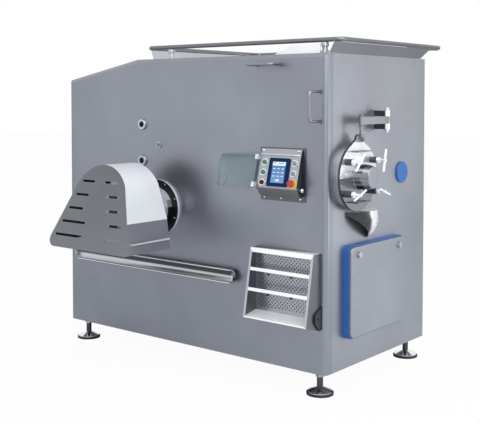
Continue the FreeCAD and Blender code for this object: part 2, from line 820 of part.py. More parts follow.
def make_main_drive():
    """Thrust gear unit behind the barrel on a welded stand, with the main motor in line."""
    centre = V(grind_axis_x, 0, grind_axis_z)
    away = FreeCAD.Rotation(V(1, 0, 0), -90)
    case = plate(main_gearbox_width, main_gearbox_height, main_gearbox_length, 30)
    case = case.cut(rod(worm_shaft_radius + running_gap, main_gearbox_length / 3 + 1))
    case = seat(case, away, centre + V(0, barrel_length, 0))
    half = main_gearbox_width / 2
    low = cabinet_bottom + skin + beam_size
    high = grind_axis_z - main_gearbox_height / 2
    y0 = barrel_length
    y1 = barrel_length + main_gearbox_length
    legs = []
    for x in (grind_axis_x - half + 45, grind_axis_x + half - 45 - stand_plate):
        legs.append(box(x, x + stand_plate, y0 + 10, y1 - 10, low, high))
    foot = box(grind_axis_x - half, grind_axis_x + half, y0, y1, low, low + stand_plate)
    save("main_gearbox", case.fuse(legs[0]).fuse(legs[1]).fuse(foot).removeSplitter())

    radius = main_motor_diameter / 2
    motor = turned([(0, 0), (radius, 0), (radius, main_motor_length - 60),
                    (radius - 12, main_motor_length - 50), (radius - 12, main_motor_length - 12),
                    (radius - 24, main_motor_length), (0, main_motor_length)])
    for i in range(16):
        fin = Part.makeBox(radius + 12, 5, main_motor_length - 110, V(0, -2.5, 20))
        fin.rotate(V(0, 0, 0), V(0, 0, 1), 22.5 * i)
        motor = motor.fuse(fin)
    save("main_motor", seat(motor, away, centre + V(0, y1, 0)))


def hood_outline(inset, y):
    """Closed outline of the hood across the barrel axis, drawn in by an inset."""
    x = grind_axis_x
    right_foot = V(x + hood_right_foot - inset, y, hood_bottom)
    right_fold = V(x + hood_right_fold - inset, y, hood_fold_z)
    right_shoulder = V(x + hood_right_shoulder - inset, y, hood_shoulder_z)
    top = V(x + hood_crest, y, hood_top - inset)
    left_shoulder = V(x - hood_left_shoulder + inset, y, hood_left_shoulder_z)
    flare = V(x - hood_left_foot + inset, y, hood_left_flare_z)
    run = (flare - left_shoulder).normalize()
    corner = flare + run * ((hood_left_flare_z - hood_bottom) / -run.z)
    half = run.getAngle(V(-1, 0, 0)) / 2
    leg = hood_corner_radius / math.tan(half)
    across = (V(1, 0, 0) - run).normalize()
    bulge = corner + across * (hood_corner_radius / math.sin(half) - hood_corner_radius)
    edges = [Part.LineSegment(right_foot, right_fold).toShape(),
             Part.LineSegment(right_fold, right_shoulder).toShape(),
             Part.Arc(right_shoulder, top, left_shoulder).toShape(),
             Part.LineSegment(left_shoulder, corner - run * leg).toShape(),
             Part.Arc(corner - run * leg, bulge, corner + V(leg, 0, 0)).toShape(),
             Part.LineSegment(corner + V(leg, 0, 0), right_foot).toShape()]
    return Part.Wire(edges)


def leaning_cut(offset):
    """Space in front of the hood's leaning front plate, moved back by an offset."""
    rise = 900.0
    y0 = -hood_front + offset / math.cos(math.radians(hood_lean))
    y1 = y0 + rise * math.tan(math.radians(hood_lean))
    return prism_along_x([(y0 - 900, hood_bottom - 1), (y0, hood_bottom), (y1, hood_bottom + rise),
                          (y1 - 900, hood_bottom + rise)], grind_axis_x - 900, grind_axis_x + 900)


def hood_slots():
    """Rounded slots in two columns: (left end, right end) from the barrel axis, row by row."""
    left_ends = [302, 266, 230, 192, 158]
    left_stops = [77, 76, 113, 89, 59]
    right_starts = [101, 100, 77, 47, 24]
    right_ends = [227, 219, 193, 161, 123]
    slots = []
    for row in range(slot_rows):
        z = slot_bottom_z + slot_pitch * row
        spans = ((-left_ends[row], -left_stops[row]), (right_starts[row], right_ends[row]))
        for start, stop in spans:
            width = stop - start
            slot = plate(width, slot_height, 400, slot_height / 2 - 0.01)
            slots.append(on_front(slot, grind_axis_x + (start + stop) / 2, z, 300))
    return slots


def hinge_post():
    return V(grind_axis_x - hinge_post_offset, -hinge_post_y, 0)


def make_guard_hood():
    """Folded hood, open at the back and below, with slotted front, ledge and hinge knuckles."""
    far = -900.0
    outer = Part.Face(hood_outline(0, -hood_back)).extrude(V(0, far + hood_back, 0))
    inner = Part.Face(hood_outline(hood_skin, -hood_back + 1)).extrude(V(0, far + hood_back, 0))
    inner_low = inner.copy()
    inner_low.translate(V(0, 0, -2 * hood_skin))
    room = inner.fuse(inner_low).cut(leaning_cut(hood_skin))
    hood = outer.cut(leaning_cut(0)).cut(room)
    for slot in hood_slots():
        hood = hood.cut(slot)
    post = hinge_post()
    bore = hinge_post_diameter / 2 + running_gap
    for z in knuckle_levels():
        knuckle = ring(bore + 8, bore, 40, V(post.x, post.y, z))
        reach_x = hood_left_x(z + 20) + 6 - post.x
        strap = box(post.x, post.x + reach_x, post.y - bore - 8, post.y - bore - 2, z, z + 40)
        hood = hood.fuse(knuckle).fuse(strap.cut(rod(bore, 40, V(post.x, post.y, z))))
    x = grind_axis_x + hood_right_foot
    ledge = box(x - 10, x - 10 + 14, -hood_front + 60, -hood_back - 6, hood_ledge_z, hood_ledge_z + 8)
    hood = hood.fuse(ledge)
    save("guard_hood", hood.removeSplitter())


def hood_left_x(z):
    """X of the hood's flared left side at a height."""
    part = (z - hood_left_flare_z) / (hood_left_shoulder_z - hood_left_flare_z)
    return grind_axis_x - hood_left_foot + part * (hood_left_foot - hood_left_shoulder)


def knuckle_levels():
    return (hood_left_flare_z + 40, hood_left_flare_z + 200)


def make_hood_hinge():
    """Wall bracket with two arms and the fixed pin on which the hood swings."""
    post = hinge_post()
    low, high = knuckle_levels()
    base = low - 30
    top = high + 40 + 30
    back = box(post.x - 30, post.x + 30, -8, 0, base, top)
    pin = rod(hinge_post_diameter / 2, top - base, V(post.x, post.y, base))
    bracket = back.fuse(pin)
    for z in (base, top - 12):
        arm = box(post.x - 16, post.x + 16, post.y, -8, z, z + 12)
        arm = arm.fuse(rod(20, 12, V(post.x, post.y, z)))
        bracket = bracket.fuse(arm)
    save("hood_hinge", bracket.removeSplitter())


def make_front_rail():
    """Hollow-faced rail along the front, standing off the face on short studs."""
    middle = rail_bottom + rail_height / 2
    left = rail_left_inset - cabinet_length
    length = -rail_right - left
    bar = plate(length, rail_height, rail_depth, rail_height / 2 - 6)
    bar = on_front(bar, left + length / 2, middle, rail_standoff)
    sag = rail_depth - rail_sheet
    half = rail_height / 2 - rail_sheet
    radius = (half * half + sag * sag) / (2 * sag)
    scoop = rod(radius, length - 2 * rail_sheet,
                V(left + rail_sheet, sag - rail_depth - rail_standoff - radius, middle), V(1, 0, 0))
    bar = bar.cut(scoop)
    studs = 3
    for i in range(studs):
        x = left + rail_stud_inset + i * (length - 2 * rail_stud_inset) / (studs - 1)
        bar = bar.fuse(rod(rail_stud_radius, rail_standoff + 2, V(x, 0, middle), V(0, -1, 0)))
    save("front_rail", bar.removeSplitter())


def grab_handle(first, second):
    """Bent round grip on two rosettes, between two points on the front face."""
    out = V(0, -handle_reach, 0)
    grip = bent_rod([first, first + out, second + out, second], 20, handle_rod / 2)
    for foot in (first, second):
        grip = grip.fuse(rod(handle_rod, 4, foot, V(0, -1, 0)))
    return grip


def make_grab_handles():
    across = grab_handle(V(-top_handle_left, 0, top_handle_z), V(-top_handle_right, 0, top_handle_z))
    upright = grab_handle(V(-side_handle_x, 0, side_handle_bottom), V(-side_handle_x, 0, side_handle_top))
    save("grab_handles", across, upright)


def bezel(outer, inner, height):
    """Ring with a chamfered outer edge round a button."""
    return turned([(inner, 0), (outer, 0), (outer, height * 0.5), (outer - 3, height), (inner, height)])


def make_face_buttons():
    """Two push caps on square stems, and the fixed lamp between them."""
    caps = cap_diameter / 2
    for name, z in (("upper_button", upper_button_z), ("lower_button", lower_button_z)):
        cap = turned([(0, 2 + cap_travel), (caps - running_gap, 2 + cap_travel),
                      (caps - running_gap, 13), (caps - 4, 17), (0, 17)])
        stem = many_sided(caps - 3 - running_gap, 4, 18, V(0, 0, -10))
        save(name, on_front(cap.fuse(stem), -button_x, z))
    lens = lamp_lens_diameter / 2
    lamp = turned([(0, 0), (lens, 0), (lens, 6), (lens - 4, 11), (0, 11)])
    save("status_lamp", on_front(lamp.fuse(many_sided(lens - 4, 4, 12, V(0, 0, -11))), -lamp_x, lamp_z))


def console_tilt():
    """Lean of the console face from the vertical, in degrees."""
    return math.degrees(math.atan2(console_reach_bottom - console_reach_top,
                                   console_face_top - console_face_bottom))


def on_console(shape, x, along, out=0.0):
    """Sets a local shape on the leaning console face: x, distance up from its middle, lift."""
    turn = FreeCAD.Rotation(V(1, 0, 0), 90 - console_tilt())
    lean = math.radians(console_tilt())
    middle = V(0, -(console_reach_top + console_reach_bottom) / 2,
               (console_face_top + console_face_bottom) / 2)
    up = V(0, math.sin(lean), math.cos(lean))
    normal = V(0, -math.cos(lean), math.sin(lean))
    return seat(shape, turn, middle + V(x, 0, 0) + up * along + normal * out)


def key_rows():
    """Distances of the three key rows up the console face from its middle."""
    return key_pitch - key_rows_drop, -key_rows_drop, -key_pitch - key_rows_drop


def key_places():
    """The five keys: name, x and distance up the console face."""
    top, middle, bottom = key_rows()
    return [("start_button", -key_column_left, top), ("run_button", -key_column_left, middle),
            ("stop_button", -key_column_left, bottom), ("forward_button", -key_column_right, top),
            ("reverse_button", -key_column_right, middle)]


def make_console():
    """Backing plate, folded housing with a leaning face, and all that sits on that face."""
    width = panel_plate_left - panel_plate_right
    height = panel_plate_top - panel_plate_bottom
    backing = plate(width, height, panel_plate_thickness, 6)
    save("panel_plate", on_front(backing, -(panel_plate_left + panel_plate_right) / 2,
                                 (panel_plate_top + panel_plate_bottom) / 2))

    base = -panel_plate_thickness
    profile = [(base, console_top), (base - 6, console_top), (-console_reach_top, console_face_top),
               (-console_reach_bottom, console_face_bottom),
               (-console_reach_bottom + 3, console_face_bottom - 16),
               (-console_reach_bottom + 12, console_face_bottom - 34),
               (-console_reach_bottom + 26, console_base), (base, console_base)]
    housing = prism_along_x(profile, -console_left, -console_right)
    side = [e for e in housing.Edges
            if all(v.Y < base - 1 for v in e.Vertexes)
            and abs(e.Vertexes[0].X - e.Vertexes[-1].X) < 0.1]
    housing = housing.makeFillet(3, side)
    bores = [on_console(rod(key_diameter / 2 - 3, 30, V(0, 0, -20)), x, along)
             for _, x, along in key_places()]
    bores.append(on_console(rod(estop_diameter / 4 + 2, 40, V(0, 0, -28)), -estop_x, key_rows()[2]))
    for bore in bores:
        housing = housing.cut(bore)
    for along in cover_hinge_rows():
        root = Part.makeBox(16, 24, cover_axis_lift + 4, V(-5, -12, -cover_axis_lift - 4))
        knuckle = rod(5, 24, V(0, -12, 0), V(0, 1, 0)).fuse(root)
        knuckle = knuckle.cut(rod(2 + running_gap / 3, 24, V(0, -12, 0), V(0, 1, 0)))
        housing = housing.fuse(on_console(knuckle, -console_left - cover_axis_gap, along, cover_axis_lift))
    save("panel_box", housing.removeSplitter())
    make_screen()
    make_keys()


def cover_hinge_rows():
    return cover_hinge_top, cover_hinge_bottom


def make_screen():
    width = screen_left - screen_right
    middle_x = -(screen_left + screen_right) / 2
    frame = plate(width, screen_height, bezel_thickness, 8)
    window = plate(display_width + 1, display_height + 1, 3, 2)
    window.translate(V(0, 0, bezel_thickness - 2.5))
    save("screen_bezel", on_console(frame.cut(window), middle_x, -screen_drop))
    glass = plate(display_width, display_height, 2, 2)
    glass.translate(V(0, 0, bezel_thickness - 2.5))
    save("screen_glass", on_console(glass, middle_x, -screen_drop))


def make_keys():
    """Console keys on square stems, the rings round them, and the emergency stop."""
    radius = key_diameter / 2
    rings = []
    for name, x, along in key_places():
        key = turned([(0, key_travel + 0.5), (radius - running_gap, key_travel + 0.5),
                      (radius - running_gap, key_travel + key_height), (0, key_travel + key_height)])
        stem = many_sided(radius - 3 - running_gap, 4, 14 + key_travel + 2, V(0, 0, -14))
        save(name, on_console(key.fuse(stem), x, along))
        rings.append(on_console(ring(key_ring_diameter / 2, radius, 5), x, along))
    for z in (upper_button_z, lower_button_z):
        rings.append(on_front(bezel(bezel_diameter / 2, cap_diameter / 2, 12), -button_x, z))
    rings.append(on_front(ring(lamp_bezel_diameter / 2, lamp_lens_diameter / 2 + 0.1, 6), -lamp_x, lamp_z))
    save("button_rings", *rings)

    row = key_rows()[2]
    lift = 6 + estop_travel
    half = estop_diameter / 2
    head = turned([(0, lift), (half - 6, lift), (half, lift + 7), (half - 3, estop_height + estop_travel),
                   (0, estop_height + estop_travel)])
    stem = estop_diameter / 4
    head = head.fuse(many_sided(stem, 4, lift + 20, V(0, 0, -18)))
    save("emergency_stop", on_console(head, -estop_x, row))
    collar = ring(estop_collar_diameter / 2, stem + 1, 4)
    save("emergency_collar", on_console(collar, -estop_x, row))


def make_clear_cover():
    """Clear shield over the console, drawn swung open to the left until it leans on the cabinet."""
    width = console_left + cover_overhang - console_right + cover_axis_gap - cover_edge_gap
    far = cover_axis_lift - cover_depth
    tray = plate(width, cover_height, cover_depth - 3, 10)
    room = plate(width - 2 * cover_sheet, cover_height - 2 * cover_sheet, cover_depth, 8)
    room.translate(V(0, 0, cover_sheet))
    tray = tray.cut(room)
    hole_x = width / 2 + cover_edge_gap - (cover_axis_gap + console_left - estop_x)
    hole_y = key_rows()[2] + cover_drop
    collar = rod(cover_hole_diameter / 2 + 3, 9, V(hole_x, hole_y, 0))
    tray = tray.fuse(collar).cut(rod(cover_hole_diameter / 2, 12, V(hole_x, hole_y, 0)))
    tray.translate(V(-width / 2 - cover_edge_gap, -cover_drop, far))
    for along in cover_hinge_rows():
        for end in (-1, 1):
            start = along + end * 12.3 - (8 if end < 0 else 0)
            arm = Part.makeBox(cover_edge_gap + 3, 8, 10, V(-cover_edge_gap - 3, start, -5))
            eye = rod(5, 8, V(0, start, 0), V(0, 1, 0))
            tray = tray.fuse(arm).fuse(eye)
        tray = tray.fuse(rod(2, 32, V(0, along - 16, 0), V(0, 1, 0)))
    tray.rotate(V(0, 0, 0), V(0, 1, 0), -cover_lean_back)
    tray = on_console(tray, -console_left - cover_axis_gap, 0, cover_axis_lift)
    save("clear_cover", tray.removeSplitter())


def vent_lean():
    return math.atan2(vent_reach_bottom - vent_reach_top, vent_top - vent_front_bottom)


def vent_depth(z):
    """Reach of the vent box's leaning front at a height."""
    return vent_reach_top + (vent_top - z) * math.tan(vent_lean())


def vent_bay_levels():
    """Bottom and top of each bay in the leaning front, from the lowest up."""
    low = vent_front_bottom + vent_lip
    bays = []
    for bar in vent_bar_levels:
        bays.append((low, bar))
        low = bar + vent_bar_height
    bays.append((low, vent_top - vent_top_border))
    return bays


def make_vent_frame():
    """Wedge-shaped air box with a leaning front, two cross bars, a sloped sill and a lock lug."""
    wedge = [(0, vent_top), (-vent_reach_top, vent_top), (-vent_reach_bottom, vent_front_bottom),
             (0, vent_bottom)]
    body = prism_along_x(wedge, -vent_left, -vent_right)
    t = vent_sheet
    lean = math.tan(vent_lean())
    room = [(1, vent_top - t), (-vent_reach_top + t, vent_top - t),
            (-vent_reach_bottom + t + t * lean, vent_front_bottom + t), (1, vent_bottom + t)]
    body = body.cut(prism_along_x(room, -vent_left + t, -vent_right - t))
    for low, high in vent_bay_levels():
        body = body.cut(box(-vent_left + vent_border, -vent_right - vent_border,
                            -vent_reach_bottom - 20, -vent_reach_top + 2 * vent_border, low, high))
    front = -vent_reach_bottom + 6
    back = -vent_screen_depth + 1
    low = vent_front_bottom + 3
    high = vent_front_bottom + vent_sill_rise
    sill = prism_along_x([(front, low), (back, high), (back, high + 3), (front, low + 3)],
                         -vent_left + t, -vent_right - t)
    body = body.fuse(sill)
    lug_x = -vent_right
    lug_low = vent_bottom + 10
    lug_outline = [(0, lug_low), (-lug_reach * 0.4, lug_low), (-lug_reach, lug_low + lug_height * 0.35),
                   (-lug_reach, lug_low + lug_height * 0.7), (0, lug_low + lug_height)]
    lug = prism_along_x(lug_outline, lug_x, lug_x + 10)
    lug = lug.cut(rod(5, 20, V(lug_x - 5, -lug_reach * 0.6, lug_low + lug_height * 0.5), V(1, 0, 0)))
    save("vent_frame", body.fuse(lug).removeSplitter())


def make_perforated_sheet():
    """Upright sheet behind the bars, with a staggered field of holes in each bay."""
    low = vent_front_bottom + vent_sill_rise + 3
    high = vent_top - vent_sheet
    sheet = box(-vent_left + vent_sheet, -vent_right - vent_sheet, -vent_screen_depth,
                -vent_screen_depth + 2, low, high)
    span = vent_left - vent_right - 2 * vent_border
    for bay_low, bay_high in vent_bay_levels():
        start = max(bay_low, low)
        for row in range(vent_hole_rows):
            z = start + (row + 0.5) * (bay_high - start) / vent_hole_rows
            stagger = 0.25 if row % 2 else -0.25
            for column in range(vent_hole_columns):
                x = -vent_left + vent_border + (column + 0.5 + stagger) * span / vent_hole_columns
                hole = many_sided(vent_hole_size, 6, 4, V(0, 0, -3))
                sheet = sheet.cut(on_front(hole, x, z, vent_screen_depth))
    save("perforated_sheet", sheet)


def make_service_door():
    """Lift-off door plate on a thick blue gasket, held by two knob screws near its top."""
    width = door_rear - door_front
    height = door_top - door_bottom
    middle_y = (door_rear + door_front) / 2
    middle_z = (door_top + door_bottom) / 2
    outer = plate(width + 2 * gasket_margin, height + 2 * gasket_margin, gasket_thickness,
                  door_corner + gasket_margin)
    inner = plate(width - 2 * gasket_band, height - 2 * gasket_band, gasket_thickness, door_corner / 2)
    save("door_gasket", on_right(outer.cut(inner), middle_y, middle_z))

    door = plate(width, height, door_thickness, door_corner)
    rim = [e for e in door.Edges if all(abs(v.Z - door_thickness) < 0.01 for v in e.Vertexes)]
    door = door.makeFillet(5, rim)
    stud_bore = knob_diameter / 4
    for y in knob_places():
        stud = V(y - middle_y, knob_level() - middle_z, 0)
        door = door.cut(rod(stud_bore + running_gap, door_thickness, stud))
    save("service_door", on_right(door, middle_y, middle_z, gasket_thickness + running_gap))

    out = gasket_thickness + door_thickness + 2 * running_gap
    radius = knob_diameter / 2
    knob = many_sided(radius, 8, 14).fuse(rod(stud_bore, door_thickness, V(0, 0, -door_thickness)))
    for name, y in zip(("door_knob_front", "door_knob_rear"), knob_places()):
        save(name, on_right(knob, y, knob_level(), out))


def knob_places():
    return (door_front + knob_inset_y, door_rear - knob_inset_y)


def knob_level():
    return door_top - knob_inset_z


def cover_face():
    """Distance of the round cover's back from the right face."""
    return seat_ring_thickness + seal_thickness + running_gap


def clamp_places():
    """The four clamp screws: name, y and z from the cover's centre, slant of the T-bar."""
    half_y = clamp_pitch_y / 2
    half_z = clamp_pitch_z / 2
    return [("clamp_screw_upper_front", -half_y, half_z, 45),
            ("clamp_screw_upper_rear", half_y, half_z, 78),
            ("clamp_screw_lower_front", -half_y, -half_z, 22),
            ("clamp_screw_lower_rear", half_y, -half_z, -20)]


def make_side_cover():
    """Round cover with an ear for its arm, a stepped bearing nose, and bosses for four screws."""
    back = cover_face()
    front = back + cover_plate_thickness
    ear = ear_z - feed_axis_z
    disc = rod(cover_radius, cover_plate_thickness, V(0, 0, back))
    waist = math.radians(50)
    neck_x = cover_radius * math.cos(waist)
    neck_y = cover_radius * math.sin(waist)
    neck = Part.Face(Part.makePolygon([V(-neck_x, neck_y, back), V(-ear_radius, ear, back),
                                       V(ear_radius, ear, back), V(neck_x, neck_y, back),
                                       V(-neck_x, neck_y, back)]))
    disc = disc.fuse(neck.extrude(V(0, 0, cover_plate_thickness)))
    disc = disc.fuse(rod(ear_radius, cover_plate_thickness, V(0, ear, back)))
    step = front + boss_length
    nose = turned([(0, back), (boss_radius, back), (boss_radius, step), (boss_radius - 2, step + 2),
                   (nose_middle_radius, (step + cover_reach) / 2), (nose_end_radius, cover_reach - 3),
                   (nose_end_radius - 3, cover_reach), (0, cover_reach)])
    cover = disc.fuse(nose)
    shaft = feed_shaft_diameter / 2
    tip = seal_thickness + seat_ring_thickness
    room = 0.6
    bush = Part.makeCone(shaft + room * 2, shaft - feed_nose_length - room, feed_nose_length + 2 * room,
                         V(0, 0, tip))
    cover = cover.cut(bush.fuse(rod(shaft + room * 3, tip - back + 2 + 1.0, V(0, 0, back - 1))))
    for _, y, z, _ in clamp_places():
        cover = cover.fuse(rod(clamp_boss_radius, clamp_boss_length, V(y, z, front)))
        cover = cover.cut(rod(clamp_spindle_radius + running_gap, 90, V(y, z, back)))
    for z in (fin_top_z - feed_axis_z, fin_bottom_z - feed_axis_z):
        corner = V(-fin_width / 2, z - fin_thickness / 2, front)
        fin = Part.makeBox(fin_width, fin_thickness, fin_length, corner)
        cover = cover.fuse(fin)
    save("side_cover", on_right(cover.removeSplitter(), feed_axis_y, feed_axis_z))

    seal = ring(seat_ring_radius - 28, trough_bore() + 2, seal_thickness)
    save("cover_seal", on_right(seal, feed_axis_y, feed_axis_z, seat_ring_thickness + running_gap))


def make_clamp_screws():
    back = cover_face()
    front = back + cover_plate_thickness
    radius = clamp_spindle_radius
    for name, y, z, slant in clamp_places():
        screw = rod(radius, clamp_reach - back - 3, V(0, 0, back + 1))
        screw = screw.fuse(many_sided(radius + 9, 6, 12, V(0, 0, front + clamp_boss_length + running_gap)))
        bar = rod(tbar_radius, tbar_length, V(-tbar_length / 2, 0, clamp_reach - 10), V(1, 0, 0))
        bar.rotate(V(0, 0, 0), V(0, 0, 1), slant)
        save(name, on_right(screw.fuse(bar), feed_axis_y + y, feed_axis_z + z))


def make_davit():
    """Wall bracket with two lugs, and the arm that carries the round cover on a hanging pin."""
    low = arm_axis_z - arm_height / 2
    high = arm_axis_z + arm_height / 2
    axis = V(arm_axis_x, arm_axis_y, 0)
    gap = running_gap
    nut = 12
    pin_low = low - gap - lug_block_height - nut - 4
    pin_high = high + gap + lug_block_height + nut + 4
    bracket = rod(arm_pin_radius, pin_high - pin_low, V(axis.x, axis.y, pin_low))
    for z in (low - gap - lug_block_height, high + gap):
        pad = box(0, 10, arm_axis_y - 28, arm_axis_y + 28, z - 5, z + lug_block_height + 5)
        lug = box(8, arm_axis_x, arm_axis_y - 18, arm_axis_y + 18, z, z + lug_block_height)
        lug = lug.fuse(rod(18, lug_block_height, V(axis.x, axis.y, z)))
        bracket = bracket.fuse(lug).fuse(pad)
    for z in (pin_low + 4, pin_high - nut - 4):
        bracket = bracket.fuse(many_sided(16, 6, nut, V(axis.x, axis.y, z)))
    save("davit_bracket", bracket.removeSplitter())

    link_x = cover_face() + cover_plate_thickness + gap
    end = V(link_x + arm_end_lift, feed_axis_y, 0)
    reach = axis - end
    arm = Part.makeBox(reach.Length, arm_thickness, arm_height, V(0, -arm_thickness / 2, low))
    arm.rotate(V(0, 0, 0), V(0, 0, 1), math.degrees(math.atan2(reach.y, reach.x)))
    arm.translate(end)
    arm = arm.fuse(rod(18, arm_height, V(axis.x, axis.y, low)))
    arm = arm.fuse(rod(arm_end_lift, arm_height, V(end.x, end.y, low)))
    arm = arm.cut(rod(arm_pin_radius + 0.05, arm_height, V(axis.x, axis.y, low)))
    half = 14
    block = box(link_x, link_x + 2 * arm_end_lift, feed_axis_y - half, feed_axis_y + half,
                ear_z - 16, ear_z + 16)
    pin = rod(8, high + 16 - ear_z, V(end.x, end.y, ear_z))
    for z in (ear_z + 16, low - nut, high):
        pin = pin.fuse(many_sided(arm_end_lift, 6, nut, V(end.x, end.y, z)))
    bolt = rod(10, 10, V(link_x + 2 * arm_end_lift, feed_axis_y, ear_z), V(1, 0, 0))
    save("davit_arm", arm.fuse(block).fuse(pin).fuse(bolt).removeSplitter())


def make_cover_buffer():
    radius = buffer_diameter / 2
    pad = turned([(0, 0), (radius, 0), (radius, buffer_thickness - 4), (radius - 4, buffer_thickness),
                  (0, buffer_thickness)])
    save("cover_buffer", on_right(pad, buffer_y, buffer_z))


def make_side_scoop():
    """Rounded scoop on the right face whose mouth looks down and forward."""
    lean = scoop_short * scoop_short / scoop_reach / 2 - scoop_reach / 2
    radius = lean + scoop_reach
    bow = (scoop_long * scoop_long + scoop_reach * scoop_reach) / 2 / scoop_reach

    def bulge(inset):
        bands = 8
        points = []
        for i in range(bands + 1):
            station = scoop_long * 1.15 * (2 * i / bands - 1)
            sag = bow - math.sqrt(bow * bow - station * station)
            points.append((radius - sag - inset, station))
        body = turned([(0, points[0][1])] + points + [(0, points[-1][1])])
        body.rotate(V(0, 0, 0), V(1, 0, 0), 90 - scoop_slant)
        body.translate(V(-lean, scoop_y, scoop_z))
        return body

    far = 4 * scoop_long
    mouth = Part.makeBox(2 * far, 2 * far, far, V(-far, -far, -far - scoop_mouth * scoop_short))
    mouth.rotate(V(0, 0, 0), V(1, 0, 0), -scoop_slant)
    mouth.translate(V(0, scoop_y, scoop_z))
    wall = box(-far, 0, scoop_y - far, scoop_y + far, scoop_z - far, scoop_z + far)
    above = box(-far, far, scoop_y - far, scoop_y + far, scoop_top, scoop_z + far)
    above_room = box(-far, far, scoop_y - far, scoop_y + far, scoop_top - scoop_sheet, scoop_z + far)
    room = bulge(scoop_sheet).cut(above_room)
    save("side_scoop", bulge(0).cut(room).cut(mouth).cut(wall).cut(above))


def build():
    os.makedirs("parts", exist_ok=True)
    deck = make_cabinet()
    make_cable_gland()
    make_base_frame()
    make_feet()
    make_hopper_bowl(deck)
    make_hopper_collar()
    make_hopper_rim()
    make_rim_posts()
    make_feed_trough()
    make_feed_auger()
    make_feed_gearmotor()
    make_grinding_barrel()
    make_cutting_set()
    make_grinding_auger()
    make_ring_nut()
    make_main_drive()
    make_guard_hood()
    make_hood_hinge()
    make_front_rail()
    make_grab_handles()
    make_face_buttons()
    make_console()
    make_clear_cover()
    make_vent_frame()
    make_perforated_sheet()
    make_service_door()
    make_side_cover()
    make_clamp_screws()
    make_davit()
    make_cover_buffer()
    make_side_scoop()


build()
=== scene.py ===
import json
import math

import bpy
from mathutils import Matrix, Vector


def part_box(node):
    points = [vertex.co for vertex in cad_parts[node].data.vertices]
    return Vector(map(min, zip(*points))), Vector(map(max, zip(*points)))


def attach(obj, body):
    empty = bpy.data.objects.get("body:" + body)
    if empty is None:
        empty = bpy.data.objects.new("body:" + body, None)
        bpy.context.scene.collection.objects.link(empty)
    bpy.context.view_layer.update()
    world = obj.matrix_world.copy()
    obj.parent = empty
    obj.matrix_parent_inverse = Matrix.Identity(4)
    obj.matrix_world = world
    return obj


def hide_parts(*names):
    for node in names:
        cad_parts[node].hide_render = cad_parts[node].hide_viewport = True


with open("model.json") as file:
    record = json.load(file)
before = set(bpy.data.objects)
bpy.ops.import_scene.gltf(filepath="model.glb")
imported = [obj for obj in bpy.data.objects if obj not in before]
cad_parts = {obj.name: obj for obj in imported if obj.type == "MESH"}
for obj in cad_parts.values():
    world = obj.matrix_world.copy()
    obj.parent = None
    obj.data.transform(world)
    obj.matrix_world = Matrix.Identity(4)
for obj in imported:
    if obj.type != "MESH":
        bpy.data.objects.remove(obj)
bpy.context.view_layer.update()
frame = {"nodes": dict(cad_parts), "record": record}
nodes = frame["nodes"]
bodies = frame["record"]["behaviour"]["bodies"]
slots = {row["node"]: row["material_slot"] for row in frame["record"]["subparts"]}
riders = {node: body for body, members in bodies.items() for node in members}

# The cabinet's front right corner on the floor. Places below are in millimetres from it:
# to the left is -x, towards the viewer is -y
corner = Vector((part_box("right_panel")[1].x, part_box("front_panel")[0].y, 0))
FRONT = (0, -1, 0)
RIGHT = (1, 0, 0)
UP = (0, 0, 1)


def at(x, y, z):
    """Place in metres of a point in millimetres from the corner."""
    return corner + Vector((x, y, z)) / 1000


# Camera
def place_camera():
    """Stands to the front right of the cabinet at chest height and looks slightly down."""
    yaw = 2.2550
    pitch = math.radians(2.5)
    stand = (3.4975, -4.16375, 1.556)
    data = bpy.data.cameras.new("camera")
    camera = bpy.data.objects.new("camera", data)
    bpy.context.scene.collection.objects.link(camera)
    ahead = Vector((math.cos(yaw) * math.cos(pitch),
                    math.sin(yaw) * math.cos(pitch),
                    -math.sin(pitch)))
    right = Vector((math.sin(yaw), -math.cos(yaw), 0))
    above = right.cross(ahead)
    turn = Matrix((right, above, -ahead)).transposed()
    camera.matrix_world = Matrix.Translation(stand) @ turn.to_4x4()
    data.sensor_width = 36.0
    data.lens = 68.09
    data.shift_y = -0.1528
    data.clip_end = 60
    bpy.context.scene.camera = camera


# Building blocks of the finishes. A grain says how fast a pattern changes along x, y and z
EVEN = (1, 1, 1)
LEVEL = (1, 1, 30)
FINE_LEVEL = (1, 1, 20)
UPRIGHT = (30, 1, 1)
RINGS = (40, 1, 1)


def new_material(name):
    made = bpy.data.materials.new(name)
    made.use_nodes = True
    tree = made.node_tree
    return made, tree, tree.nodes["Principled BSDF"]


def feed(tree, node, settings):
    """Links each named input of a node to a socket, or gives it a plain value."""
    for name, given in settings.items():
        if isinstance(given, bpy.types.NodeSocket):
            tree.links.new(given, node.inputs[name])
        else:
            node.inputs[name].default_value = given


def noise_pattern(tree, grain, scale, detail):
    """Noise on the piece's own coordinates, drawn out into a grain."""
    own = tree.nodes.new("ShaderNodeTexCoord")
    mapping = tree.nodes.new("ShaderNodeMapping")
    noise = tree.nodes.new("ShaderNodeTexNoise")
    feed(tree, mapping, {"Vector": own.outputs["Object"], "Scale": grain})
    feed(tree, noise, {"Vector": mapping.outputs["Vector"], "Scale": scale, "Detail": detail})
    return noise.outputs["Fac"]


def ranged(tree, value, low, high, start=0.3, stop=0.7):
    """Carries a value from the range start to stop over to the range low to high."""
    spread = tree.nodes.new("ShaderNodeMapRange")
    feed(tree, spread, {"Value": value, "From Min": start, "From Max": stop,
                        "To Min": low, "To Max": high})
    return spread.outputs["Result"]


def blended(tree, share, dark, light, way="MIX"):
    """Mixes two colours, each a triple or a socket."""
    mix = tree.nodes.new("ShaderNodeMix")
    mix.data_type = "RGBA"
    mix.blend_type = way
    full = [(*colour, 1) if isinstance(colour, tuple) else colour for colour in (dark, light)]
    feed(tree, mix, {"Factor": share, "A": full[0], "B": full[1]})
    return mix.outputs["Result"]


